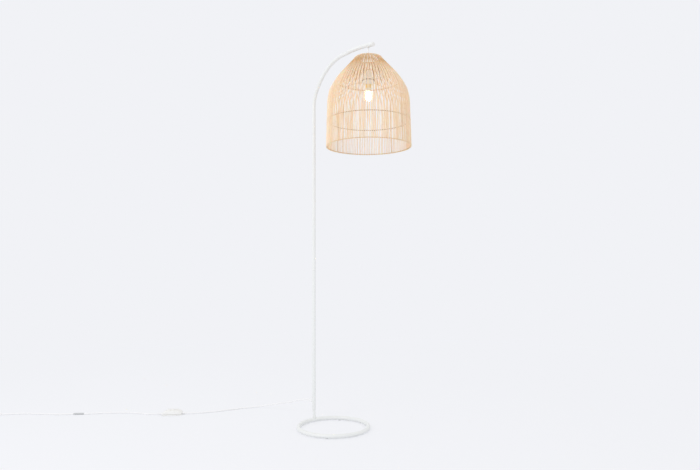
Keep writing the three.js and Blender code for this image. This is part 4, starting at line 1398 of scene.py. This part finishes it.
    def arm_line(self) -> list[Vector]:
        """Draws the arm's middle: a straight start and three bends that follow each other.

        Returns:
            The line's points.
        """
        heights = (self.upper_seam + self.gap / 2, (self.upper_seam + self.bend_start) / 2, self.bend_start)
        line = [self.site.at(0, 0, z) for z in heights]
        x, z, lean = 0.0, self.bend_start, 0.0
        for radius, degrees in self.bends:
            mid_x, mid_z = x + radius * math.cos(lean), z - radius * math.sin(lean)
            turn = math.radians(degrees)
            steps = max(4, round(turn * radius / self.bend_step))
            for i in range(1, steps + 1):
                angle = lean + turn * i / steps
                x, z = mid_x - radius * math.cos(angle), mid_z + radius * math.sin(angle)
                line.append(self.site.at(x, 0, z))
            lean += turn
        for point in line:
            point.z = min(point.z, CAD_BOX[1].z - self.site.tube / 2 * MM)
        return line

    def arm(self) -> None:
        """The bent arm with the hole for its bush, and the plug in its end."""
        line, r = self.arm_line(), self.site.tube / 2
        arm = Shape().tube(line, r * MM, 32).piece("arm_tube")
        pocket, low, high = 6.5, -8, 9
        cutter = Shape().lathe([(0, low), (pocket, low), (pocket, high), (0, high)],
                               Matrix.Translation(self.pivot), 40)
        carve(arm, cutter)
        dress(arm, Body.STAND, Finishes.steel, ["arm"])
        cap = [(0, self.gap), (r - 0.2, self.gap), (r - 0.7, 0.9), (r - 1.6, 1.3), (0, 1.4)]
        end = facing((line[-1] - line[-2]).normalized(), line[-1])
        plug = Shape().lathe(cap, end, 40).piece("arm_end_cap")
        dress(plug, Body.STAND, Finishes.plastic, ["arm_end_plug"])
        paint("inner_flex", Finishes.sheath)
        for node in ("joiner_lower", "joiner_upper"):
            paint(node, Finishes.zinc)

    def build(self) -> None:
        """Builds the whole stand."""
        self.ring()
        self.stub()
        self.pole()
        self.arm()


# Pendant


@dataclass
class Pendant:
    """What hangs at the arm: bush and stop, flex, lampholder with its rings, and the lit bulb.

    Heights are above the floor, in millimetres. The pivot is where the stop rides in the arm's bush.
    """

    axis: Vector
    pivot: Vector
    spider: float = 1387.1
    flex_foot: float = 1398.4
    flex_diameter: float = 6.0
    holder: float = 39.0
    bore: float = 28.0
    clearance: float = 0.3
    shade_ring_height: float = 4.0
    shade_ring_width: float = 3.2
    shade_ring_lows: tuple[float, float] = (1.3, -5.3)
    knurls: int = 28
    cone_height: float = 34.0
    cone_top: float = 13.0
    bulb: float = 45.0
    bulb_drop: float = 61.7
    lit_rise: float = 17.0
    cap_radius: float = 13.2
    cap_height: float = 26.0
    thread_turns: int = 5
    thread_pitch: float = 3.62
    collar: float = 11.4

    def turned(self, name: str, profile: Profile, finish: Finish, nodes: Iterable[str] = (),
               lift: float = 0.0, steps: int = 56) -> None:
        """Adds a body of revolution on the shade's axis, with its outline lifted to a height."""
        piece = Shape().lathe(profile, Matrix.Translation(self.axis + rise(lift)), steps).piece(name)
        dress(piece, Body.PENDANT, finish, nodes)

    def swivel(self) -> None:
        """The bush in the arm and the ball-shaped stop on the flex."""
        lip, seat, outside, edge = 4.75, 4.8 + self.clearance, 6.2, 0.3
        foot, ledge, top = -1.9, -0.6, 2.4
        bush = [(lip, foot), (outside - edge, foot), (outside, foot + edge), (outside, top), (seat, top),
                (seat, ledge), (lip, foot)]
        piece = Shape().lathe(bush, Matrix.Translation(self.pivot), 40).piece("arm_bush_ring")
        dress(piece, Body.STAND, Finishes.plastic, ["arm_bush"])
        paint("flex_stop", Finishes.plastic)

    def flex(self) -> None:
        """The flex that the shade hangs on."""
        top, foot, steps = self.pivot, self.axis + rise(self.flex_foot), 24
        line = [foot.lerp(top, i / steps) for i in range(steps + 1)]
        piece = Shape().tube(line, self.flex_diameter / 2 * MM, 24).piece("pendant_flex")
        dress(piece, Body.PENDANT, Finishes.sheath, ["hanging_flex"])

    def shade_ring(self, node: str, low: float) -> None:
        """Adds a ring that clamps the shade's spider, knurled for the fingers.

        Args:
            node: the CAD node that it replaces.
            low: height of its underside.
        """
        high, inner, edge = low + self.shade_ring_height, self.holder / 2 + self.clearance, 0.5
        outer = inner + self.shade_ring_width
        profile = [(inner, low), (outer - edge, low), (outer, low + edge), (outer, high - edge),
                   (outer - edge, high), (inner, high), (inner, low)]
        piece = Shape().lathe(profile, Matrix.Translation(self.axis), 56).piece(node + "_moulding")
        knurl, groove, outside = Shape(), 0.85, 0.35
        for at in circle(self.axis, outer + outside, self.knurls):
            knurl.tube([at + rise(low - edge), at + rise(high + edge)], groove * MM, 8)
        carve(piece, knurl)
        dress(piece, Body.PENDANT, Finishes.plastic, [node])

    def lampholder(self) -> None:
        """The holder's body, its rings, the conical cap and the cord grip."""
        s, r, bore, edge, hole = self.spider, self.holder / 2, self.bore / 2, 0.6, 4
        low, high, roof = s - 17, s + 11, s + 8.6
        body = [(bore, low), (r - edge, low), (r, low + edge), (r, high - edge), (r - edge, high),
                (hole, high), (hole, roof), (bore, roof), (bore, low)]
        self.turned("lampholder_shell", body, Finishes.plastic, ["lampholder_body"])
        for node, offset in zip(("shade_ring_upper", "shade_ring_lower"), self.shade_ring_lows):
            self.shade_ring(node, s + offset)
        inner, foot, edge = r + self.clearance, s + 5.6, 0.4
        wide, top, peak, hole = inner + 2, self.cone_top / 2, foot + self.cone_height, 5.3
        # A short upright skirt, then a side that hollows a little and rounds into the neck
        cone = [(inner, foot), (wide - edge, foot), (wide, foot + edge), (wide, foot + 4),
                (wide - 1.0, foot + 6.4), (18.6, foot + 12), (15.4, foot + 18), (12.0, foot + 24),
                (9.2, foot + 29), (7.2, foot + 32.4), (top, peak - 0.5), (top - edge, peak), (hole, peak),
                (hole, peak - 12), (inner, s + 13), (inner, foot)]
        self.turned("lampholder_cone", cone, Finishes.plastic, ["lampholder_cap"])
        high, low, bore, outside = peak + 3, peak - 9, self.flex_diameter / 2 + self.clearance, 5
        grip = [(bore, low), (outside, low), (outside, high - 0.8), (outside - 0.6, high), (bore, high),
                (bore, low)]
        self.turned("cord_grip_bush", grip, Finishes.plastic, ["cord_grip"], steps=32)
        paint("lampholder_contact", Finishes.ceramic)

    def screw_cap(self, foot: float) -> None:
        """Adds the bulb's rolled screw cap.

        Args:
            foot: height of its lower edge.
        """
        r, top, wall, samples, depth = self.cap_radius, foot + self.cap_height, 1.9, 8, 0.45
        outline = [(r - 1, foot), (r - 0.5, foot), (r - 0.1, foot + 0.4), (r - 0.1, foot + 3.2)]
        for i in range(self.thread_turns * samples + 1):
            wave = math.cos(2 * math.pi * i / samples)
            outline.append((r - depth - depth * wave, foot + 4 + i * self.thread_pitch / samples))
        outline += [(r - 0.9, top - 1.4), (8.2, top - 0.4), (6, top), (5, top), (r - wall, top - 2),
                    (r - wall, foot), (r - 1, foot)]
        self.turned("bulb_screw_cap", outline, Finishes.brass, ["bulb_cap"], steps=48)

    def lamp_bulb(self) -> None:
        """The bulb: screw cap, contact, a clear globe round the glowing core and the housing above it."""
        foot = self.spider - 5 - self.cap_height
        self.screw_cap(foot)
        paint("bulb_contact", Finishes.vitrite)
        middle, radius, collar = self.spider - self.bulb_drop, self.bulb / 2, self.collar
        # The globe narrows to the neck, an eighth wider than the collar.
        neck = math.acos(collar * 1.12 / radius)
        lit = math.asin(self.lit_rise / radius)

        def arc(low: float, high: float, steps: int) -> list[tuple[float, float]]:
            """Points of the globe's outline between two angles from its middle."""
            turns = [low + (high - low) * i / steps for i in range(steps + 1)]
            return [(radius * math.cos(a), middle + radius * math.sin(a)) for a in turns]

        globe = [(0.0, middle - radius), *arc(-math.pi / 2, lit, 22)[1:]]
        globe.append((0.0, globe[-1][1]))
        self.turned("bulb_glow_glass", globe, Finishes.opal, ["bulb_glass"])
        core = [(0, 0), (5, 0.8), (8.2, 3.6), (9.8, 8), (10, 16), (9.2, 25), (8, 30), (0, 30)]
        self.turned("bulb_light_core", core, Finishes.core, lift=middle - 18, steps=40)
        seam = 0.1
        shell = arc(lit, neck, 8)
        start, inside = (shell[0][0], shell[0][1] + seam), foot + 8
        outline = [(0.0, start[1]), start, *shell[1:], (collar + 0.4, shell[-1][1] + 3), (collar, foot - 1.5),
                   (collar, inside), (0, inside)]
        self.turned("bulb_housing_shell", outline, Finishes.housing)

    def build(self) -> None:
        """Builds the pendant but for its shade."""
        self.swivel()
        self.flex()
        self.lampholder()
        self.lamp_bulb()


# Shade


def new_base(name: str, points: Sequence[Place], edges: Iterable[tuple[int, int]],
             values: dict[str, list[float]]) -> Object:
    """Adds the base that a tree works on.

    Args:
        name: the object's name.
        points: its points.
        edges: pairs of points that are joined.
        values: named values on the points.

    Returns:
        The object.
    """
    made = new_object(name, points, edges)
    for label, column in values.items():
        made.data.attributes.new(label, "FLOAT", "POINT").data.foreach_set("value", column)
    return made


@dataclass(frozen=True)
class Strand:
    """A strand that winds round the shade between its canes and a hoop.

    Reach and level place its middle, out and up are the size of its waves, all in metres, wraps their
    count round the shade and phase their start as a share of one wave.
    """

    reach: float
    level: float
    out: float
    up: float
    wraps: float
    phase: float
    thickness: float


class StrandTree:
    """A Geometry Nodes tree whose lines end as rods of one material."""

    def __init__(self, name: str, inputs: dict[str, str]) -> None:
        """Starts the tree.

        Args:
            name: its name.
            inputs: the kind of socket for each input that only this tree has.
        """
        self.tree = bpy.data.node_groups.new(name, "GeometryNodeTree")
        self.add = partial(add_node, self.tree)
        shared = {"Sides": "Int", "Seed": "Int", "Material": "Material"}
        for label, kind in {"Geometry": "Geometry", **inputs, **shared}.items():
            self.tree.interface.new_socket(label, in_out="INPUT", socket_type="NodeSocket" + kind)
        self.tree.interface.new_socket("Geometry", in_out="OUTPUT", socket_type="NodeSocketGeometry")
        self.given = self.tree.nodes.new("NodeGroupInput").outputs

    def end(self, lines: NodeSocket, marks: dict[str, NodeSocket], radius: float | NodeSocket,
            scale: NodeSocket) -> NodeTree:
        """Ends the tree: its lines keep their marks for the finish and become rods.

        Args:
            lines: the lines.
            marks: value of each named attribute on their points.
            radius: the rods' radius.
            scale: what it is multiplied by along each line.

        Returns:
            The tree.
        """
        add, given = self.add, self.given
        for name, value in marks.items():
            lines = add("GeometryNodeStoreNamedAttribute", {"Geometry": lines, "Name": name, "Value": value})
        ring = add("GeometryNodeCurvePrimitiveCircle", {"Resolution": given["Sides"], "Radius": radius})
        rods = add("GeometryNodeCurveToMesh", {"Curve": lines, "Profile Curve": ring, "Scale": scale,
                                               "Fill Caps": True})
        whole = add("GeometryNodeRealizeInstances", {"Geometry": rods})
        dressed = add("GeometryNodeSetMaterial", {"Geometry": whole, "Material": given["Material"]})
        add("NodeGroupOutput", {"Geometry": dressed})
        return self.tree


class WallTree(StrandTree):
    """The tree that sets canes round the axis, draws them together and lets each waver a little.

    Its base is one cane's line. The waver is a noise that changes by waver_step from one cane to the next
    and waver_rate times in a metre of height. A share of it, ragged, goes in and out.
    """

    waver_step: float = 1.93
    waver_rate: float = 16.0
    waver_seed_step: float = 3.7
    ragged: float = 0.35
    scatter_seed: int = 11
    # Radii in millimetres at which the canes have no room and full room to stand unevenly
    room: tuple[float, float] = (60.0, 140.0)
    # The thinnest and the thickest cane, as shares of the diameter
    thickness: tuple[float, float] = (0.93, 1.07)

    def __init__(self) -> None:
        """Starts the tree and reads each point's place and the values kept on it."""
        super().__init__("upright_canes", {"Canes": "Int", "Cane diameter": "Float", "Waver": "Float",
                                           "Scatter": "Float", "Turned": "Float"})
        add = self.add
        self.cane, self.apart, self.stack, self.drawn = (
            add("GeometryNodeInputNamedAttribute", {"Name": name})
            for name in ("cane", "apart", "stack", "drawn"))
        place = add("ShaderNodeSeparateXYZ", {0: add("GeometryNodeInputPosition")}).node.outputs
        self.radius, self.height = place["X"], place["Z"]
        self.pitch = add("ShaderNodeMath", {0: 2 * math.pi, 1: self.given["Canes"]}, operation="DIVIDE")
        self.odd = add("ShaderNodeMath", {0: self.cane, 1: 2.0}, operation="MODULO")

    def waver(self) -> NodeSocket:
        """Makes the waver.

        Returns:
            How far each cane strays along its height.
        """
        add = self.add
        seed = add("ShaderNodeMath", {0: self.given["Seed"], 1: self.waver_seed_step}, operation="MULTIPLY")
        phase = add("ShaderNodeMath", {0: self.cane, 1: self.waver_step, 2: seed}, operation="MULTIPLY_ADD")
        tall = add("ShaderNodeMath", {0: self.height, 1: self.waver_rate}, operation="MULTIPLY")
        place = add("ShaderNodeCombineXYZ", {"X": phase, "Y": tall})
        noise = add("ShaderNodeTexNoise", {"Vector": place, "Scale": 1.0, "Detail": 1.0})
        swing = add("ShaderNodeMath", {0: noise, 1: -0.5}, operation="ADD")
        return add("ShaderNodeMath", {0: swing, 1: self.given["Waver"]}, operation="MULTIPLY")

    def scatter(self) -> NodeSocket:
        """Strews the canes, less where they have no room.

        Returns:
            How far each cane stands off its even place.
        """
        add, (least, full) = self.add, self.room
        strewn = add("FunctionNodeRandomValue", {2: -0.5, 3: 0.5, "ID": self.cane, "Seed": self.scatter_seed},
                     out=1)
        wide = add("ShaderNodeMath", {0: strewn, 1: self.given["Scatter"]}, operation="MULTIPLY")
        room = add("ShaderNodeMapRange", {
            "Value": self.radius, "From Min": least * MM, "From Max": full * MM})
        return add("ShaderNodeMath", {0: wide, 1: room}, operation="MULTIPLY")

    def together(self) -> NodeSocket:
        """Draws each cane to its partner and each pair to the next pair.

        The first of two moves on by its share, and the second moves back.

        Returns:
            The angle by which each cane moves.
        """
        add = self.add
        half = add("ShaderNodeMath", {0: self.cane, 1: 0.5}, operation="MULTIPLY")
        pair = add("ShaderNodeMath", {0: half}, operation="FLOOR")
        odd_pair = add("ShaderNodeMath", {0: pair, 1: 2.0}, operation="MODULO")
        side, pair_side = (add("ShaderNodeMath", {0: which, 1: -2.0, 2: 1.0}, operation="MULTIPLY_ADD")
                           for which in (self.odd, odd_pair))
        between, reached = (add("ShaderNodeMath", {0: distance, 1: self.radius}, operation="DIVIDE")
                            for distance in (self.apart, self.drawn))
        half_pitch = add("ShaderNodeMath", {0: self.pitch, 1: 0.5}, operation="MULTIPLY")
        closed = add("ShaderNodeMath", {0: between, 1: -0.5, 2: half_pitch}, operation="MULTIPLY_ADD")
        shift = add("ShaderNodeMath", {0: closed, 1: side}, operation="MULTIPLY")
        return add("ShaderNodeMath", {0: reached, 1: pair_side, 2: shift}, operation="MULTIPLY_ADD")

    def build(self) -> NodeTree:
        """Makes the whole tree.

        Returns:
            The tree.
        """
        add, given = self.add, self.given
        points, index = add("GeometryNodePoints", {"Count": given["Canes"]}), add("GeometryNodeInputIndex")
        numbered = add("GeometryNodeStoreNamedAttribute", {
            "Geometry": points, "Name": "cane", "Value": index})
        line = add("GeometryNodeMeshToCurve", {"Mesh": given["Geometry"]})
        copies = add("GeometryNodeInstanceOnPoints", {"Points": numbered, "Instance": line})
        curves = add("GeometryNodeRealizeInstances", {"Geometry": copies})
        waver = self.waver()
        aside = add("ShaderNodeMath", {0: waver, 1: self.scatter()}, operation="ADD")
        strayed = add("ShaderNodeMath", {0: aside, 1: self.radius}, operation="DIVIDE")
        start = add("ShaderNodeMath", {0: self.cane, 1: self.pitch, 2: given["Turned"]},
                    operation="MULTIPLY_ADD")
        paired = add("ShaderNodeMath", {0: start, 1: self.together()}, operation="ADD")
        angle = add("ShaderNodeMath", {0: paired, 1: strayed}, operation="ADD")
        # The second cane of a pair lies behind the first where it has to.
        pushed = add("ShaderNodeMath", {0: self.stack, 1: self.odd}, operation="MULTIPLY")
        drawn_in = add("ShaderNodeMath", {0: self.radius, 1: pushed}, operation="SUBTRACT")
        reach = add("ShaderNodeMath", {0: waver, 1: self.ragged, 2: drawn_in}, operation="MULTIPLY_ADD")
        spun = add("ShaderNodeCombineXYZ", {"X": reach, "Z": self.height})
        turned = add("ShaderNodeVectorRotate", {"Vector": spun, "Angle": angle}, rotation_type="Z_AXIS")
        set_out = add("GeometryNodeSetPosition", {"Geometry": curves, "Position": turned})
        tone = add("FunctionNodeRandomValue", {2: 0.0, 3: 1.0, "ID": self.cane, "Seed": given["Seed"]}, out=1)
        thinnest, thickest = self.thickness
        thick = add("ShaderNodeMapRange", {"Value": tone, "To Min": thinnest, "To Max": thickest})
        half = add("ShaderNodeMath", {0: given["Cane diameter"], 1: 0.5}, operation="MULTIPLY")
        return self.end(set_out, {"tone": tone, "run": self.height}, half, thick)


class RowTree(StrandTree):
    """The tree that runs one waving strand round the axis for each point of its base."""

    def __init__(self) -> None:
        """Starts the tree."""
        super().__init__("bound_rows", {"Points round": "Int"})

    def build(self) -> NodeTree:
        """Makes the whole tree.

        Returns:
            The tree.
        """
        add, count = self.add, self.given["Points round"]
        loop = add("GeometryNodeCurvePrimitiveCircle", {"Resolution": count, "Radius": 1.0})
        share = add("ShaderNodeMath", {0: add("GeometryNodeInputIndex"), 1: count}, operation="DIVIDE")
        turn = add("ShaderNodeMath", {0: share, 1: 2 * math.pi}, operation="MULTIPLY")
        marked = add("GeometryNodeStoreNamedAttribute", {"Geometry": loop, "Name": "turn", "Value": turn})
        copies = add("GeometryNodeInstanceOnPoints", {"Points": self.given["Geometry"], "Instance": marked})
        curves = add("GeometryNodeRealizeInstances", {"Geometry": copies})
        names = ("turn", "strand", *(f.name for f in fields(Strand)))
        held = {n: add("GeometryNodeInputNamedAttribute", {"Name": n}) for n in names}
        start = add("ShaderNodeMath", {0: held["phase"], 1: 2 * math.pi}, operation="MULTIPLY")
        wave = add("ShaderNodeMath", {0: held["turn"], 1: held["wraps"], 2: start}, operation="MULTIPLY_ADD")
        # The strand goes out with the wave's cosine and up with its sine.
        radius, height = (
            add("ShaderNodeMath", {0: add("ShaderNodeMath", {0: wave}, operation=kind), 1: held[swing],
                                   2: held[middle]}, operation="MULTIPLY_ADD")
            for kind, swing, middle in (("COSINE", "out", "reach"), ("SINE", "up", "level")))
        spun = add("ShaderNodeCombineXYZ", {"X": radius, "Z": height})
        turned = add("ShaderNodeVectorRotate", {"Vector": spun, "Angle": held["turn"]},
                     rotation_type="Z_AXIS")
        set_out = add("GeometryNodeSetPosition", {"Geometry": curves, "Position": turned})
        tone = add("FunctionNodeRandomValue", {
            2: 0.0, 3: 1.0, "ID": held["strand"], "Seed": self.given["Seed"]}, out=1)
        length = add("ShaderNodeMath", {0: held["turn"], 1: held["reach"]}, operation="MULTIPLY")
        return self.end(set_out, {"tone": tone, "run": length}, 0.5, held["thickness"])


@dataclass
class CaneShade:
    """The shade: upright canes, lashed at four rows to a frame of wire hoops, stays and a spider.

    Sizes are in millimetres. The foot is the rim's height above the floor, and all other heights are
    above the rim.
    """

    axis: Vector
    spider: float
    foot: float = 1125.2
    height: float = 353.0
    canes: int = 144
    cane: float = 2.9
    cane_sides: int = 8
    steps: int = 40
    seed: int = 7
    scatter: float = 1.0
    waver: float = 4.0
    lash: float = 0.9
    hoop_look: float = 2.3
    stay_look: float = 1.9
    # Height and outer radius
    outline: Profile = (
        (0, 166.2), (103, 163.6), (150, 162.4), (180, 161.0), (215, 154.9), (245, 140.6), (275, 121.0),
        (300, 99.4), (325, 76.6), (353, 53.2))
    # Height and the least distance between the canes of a pair
    tightness: Profile = ((0, 3.2), (300, 3.1), (330, 2.2), (345, 0.9), (353, 0.7))
    # Height and how far two pairs have drawn together
    grouping: Profile = ((0, 0.0), (285, 0.0), (325, 0.55), (345, 1.0), (353, 1.0))
    # Height and how far neighbours have drawn together in pairs
    pairing: Profile = (
        (0, 0.0), (20, 0.05), (60, 0.0), (103, 0.0), (130, 0.0), (160, 0.3), (215, 0.6), (262, 0.5),
        (285, 0.85), (330, 0.95), (353, 1.0))
    rows: tuple[float, ...] = (3.0, 103.1, 261.9, 350.0)
    # How many canes each row's lashing takes together
    lashed_together: tuple[int, ...] = (1, 1, 2, 4)
    cross: float = 1.2
    lash_points: int = 864
    lash_sides: int = 6
    hoop: float = 3.5
    stay: float = 3.0
    stays: int = 4
    first_stay: float = 15.8
    stay_top: float = 258.6
    stay_gap: float = 0.4
    contact: float = 0.1
    spider_bore: float = 19.8
    spider_width: float = 4.5
    spider_thickness: float = 2.0
    spoke: float = 2.4
    spoke_lap: float = 0.7
    reach: Callable[[float], float] = field(init=False)
    tight: Callable[[float], float] = field(init=False)
    grouped: Callable[[float], float] = field(init=False)
    paired: Callable[[float], float] = field(init=False)

    def __post_init__(self) -> None:
        """Keeps the four tables as smooth functions of height."""
        self.reach, self.tight = monotone(self.outline), monotone(self.tightness)
        self.grouped, self.paired = monotone(self.grouping), monotone(self.pairing)

    def cane_radius(self, height: float) -> float:
        """Radius of the canes' middles at a height."""
        return self.reach(height) - self.lash - self.cane / 2

    def apart(self, height: float) -> float:
        """How far apart the two canes of a pair stand at a height."""
        even = 2 * math.pi * self.cane_radius(height) / self.canes
        return even + (self.tight(height) - even) * self.paired(height)

    def stack(self, height: float) -> float:
        """How far a pair's second cane lies behind its first where the two have no room side by side."""
        return math.sqrt(max(0.0, self.cane ** 2 - self.apart(height) ** 2))

    def drawn(self, height: float) -> float:
        """How far a pair moves towards the next pair at a height."""
        pitch, width = 4 * math.pi * self.cane_radius(height) / self.canes, self.apart(height) + self.cane
        return max(0.0, pitch - width - self.contact) / 2 * self.grouped(height)

    def profile_mesh(self) -> Object:
        """Draws one cane's line at angle 0, with its neighbours' spacing and stacking on its points.

        Returns:
            The base of the wall.
        """
        last = self.steps - 1
        levels = [self.height * i / last for i in range(self.steps)]
        return new_base(
            "cane_shade_wall", [(self.cane_radius(h) * MM, 0.0, (self.foot + h) * MM) for h in levels],
            [(i, i + 1) for i in range(last)],
            {name: [value(h) * MM for h in levels]
             for name, value in (("apart", self.apart), ("stack", self.stack), ("drawn", self.drawn))})

    def grow(self, base: Object, tree: NodeTree, finish: Finish,
             values: dict[str, int | float]) -> Object:
        """Runs a tree on its base and turns the result into a plain mesh on the shade's axis.

        Args:
            base: the object that the tree works on.
            tree: the tree.
            finish: the material for it.
            values: value of each named input.

        Returns:
            The base, as the finished mesh.
        """
        modifier = base.modifiers.new(tree.name, "NODES")
        modifier.node_group = tree
        for name, value in {**values, "Seed": self.seed, "Material": finish.material()}.items():
            modifier[tree.interface.items_tree[name].identifier] = value
        settle(base)
        base.data.transform(Matrix.Translation(self.axis))
        turn_outwards(base.data)
        return base

    def wall(self) -> None:
        """All the upright canes."""
        turned = math.radians(self.first_stay % (360 / self.canes))
        base = self.grow(self.profile_mesh(), WallTree().build(), Finishes.cane, {
            "Canes": self.canes, "Cane diameter": self.cane * MM, "Sides": self.cane_sides,
            "Waver": self.waver * MM, "Scatter": self.scatter * MM, "Turned": turned})
        dress(base, Body.PENDANT, Finishes.cane, ["cane_wall"])

    def wire_reach(self, height: float, wire: float) -> float:
        """Finds the radius of a wire's middle just inside the canes, square to the leaning wall.

        Args:
            height: the wire's height.
            wire: its diameter.

        Returns:
            The radius.
        """
        low, high = max(height - wire, 0.0), min(height + wire, self.height)
        lean = math.atan((self.reach(low) - self.reach(high)) / (high - low))
        inside = self.reach(height) - self.cane - self.lash - self.stack(height)
        return inside - (self.contact + wire / 2) / math.cos(lean)

    def strands(self) -> list[Strand]:
        """Sets out the strands that lash the canes to the hoops.

        At each row two strands go outside round every cane, pair or group of four, and inside round the
        hoop between them, and cross on the way. So the hoop shows in dots between the canes.

        Returns:
            The strands, two for each row.
        """
        made = []
        pitch = 360 / self.canes
        for height, joined in zip(self.rows, self.lashed_together):
            outer = self.reach(height) - self.lash / 2
            inner = self.wire_reach(height, self.hoop_look) - self.hoop_look / 2 - self.lash / 2
            middle = (joined - 1) / 2 + self.first_stay % pitch / pitch
            for up in (self.cross, -self.cross):
                made.append(Strand((outer + inner) / 2 * MM, (self.foot + height) * MM,
                                   (outer - inner) / 2 * MM, up * MM, self.canes / joined,
                                   -middle / joined, self.lash * MM))
        return made

    def bindings(self) -> None:
        """The strands that lash all four rows."""
        strands = self.strands()
        columns = {f.name: [getattr(s, f.name) for s in strands] for f in fields(Strand)}
        columns["strand"] = [float(i) for i in range(len(strands))]
        base = new_base("cane_shade_bindings", [(0.0, 0.0, 0.0)] * len(strands), (), columns)
        self.grow(base, RowTree().build(), Finishes.binding,
                  {"Points round": self.lash_points, "Sides": self.lash_sides})
        dress(base, Body.PENDANT, Finishes.binding)

    def hoops(self) -> None:
        """The four hoops: the lower row's is bare brown wire, the others are wound with flat cane."""
        names = ("rim_hoop", "mid_hoop", "shoulder_hoop", "neck_hoop")
        finishes = (Finishes.wound, Finishes.wire, Finishes.wound, Finishes.wound)
        for name, height, finish in zip(names, self.rows, finishes):
            line = circle(self.axis + rise(self.foot + height), self.wire_reach(height, self.hoop_look), 128)
            hoop = Shape().tube(line, self.hoop_look / 2 * MM, 12, closed=True).piece(name + "_wire")
            dress(hoop, Body.PENDANT, finish, [name])

    def spider_ring(self) -> None:
        """The flat ring that the lampholder clamps."""
        inner, half = self.spider_bore, self.spider_thickness / 2
        outer = inner + self.spider_width
        flat = [(inner, -half), (outer, -half), (outer, half), (inner, half), (inner, -half)]
        place = Matrix.Translation(self.axis + rise(self.spider))
        ring = Shape().lathe(flat, place, 56).piece("shade_spider_ring")
        dress(ring, Body.PENDANT, Finishes.wire, ["spider"])

    def stays_and_spokes(self) -> None:
        """The upright stays, and the spokes that carry the spider's ring on the shoulder hoop."""
        low, high = self.rows[0], self.stay_top
        stay_steps, spoke_steps = 24, 6
        behind = (self.hoop + self.stay) / 2 + self.stay_gap
        near = self.spider_bore + self.spider_width - self.spoke_lap
        far = self.wire_reach(self.rows[2], self.hoop) - self.hoop / 2 - self.contact
        spokes = Shape()
        for i in range(self.stays):
            away = heading(self.first_stay + 360 / self.stays * i)
            levels = [low + (high - low) * k / stay_steps for k in range(stay_steps + 1)]
            line = [self.axis + away * (self.wire_reach(h, self.hoop) - behind) * MM + rise(self.foot + h)
                    for h in levels]
            stay = Shape().tube(line, self.stay_look / 2 * MM, 12).piece(f"stay_{i + 1}_wire")
            dress(stay, Body.PENDANT, Finishes.lacquered, [f"stay_{i + 1}"])
            root, tip = (self.axis + away * reach * MM + rise(self.spider) for reach in (near, far))
            spoke = [root.lerp(tip, k / spoke_steps) for k in range(spoke_steps + 1)]
            spokes.tube(spoke, self.spoke / 2 * MM, 10)
        dress(spokes.piece("shade_spider_spokes"), Body.PENDANT, Finishes.spider)

    def build(self) -> None:
        """Builds the shade."""
        self.wall()
        self.bindings()
        self.hoops()
        self.spider_ring()
        self.stays_and_spokes()


def main() -> None:
    """Builds the camera and the cord first, then every other sub-assembly."""
    logging.basicConfig(level=logging.INFO, format="%(name)s %(message)s")
    low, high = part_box("pole_upper")
    site = Site((low.x + high.x) / 2)
    pivot = Vector(frame["joints"][0]["pos_m"])
    axis = Vector((pivot.x, pivot.y, 0))
    PhotoCamera(site).build()
    cord = MainsCord(site)
    cord.build(*CordPieces(cord).build())
    Studio().build()
    SteelStand(site, pivot).build()
    pendant = Pendant(axis, pivot)
    pendant.build()
    CaneShade(axis, pendant.spider).build()


if __name__ == "__main__":
    main()
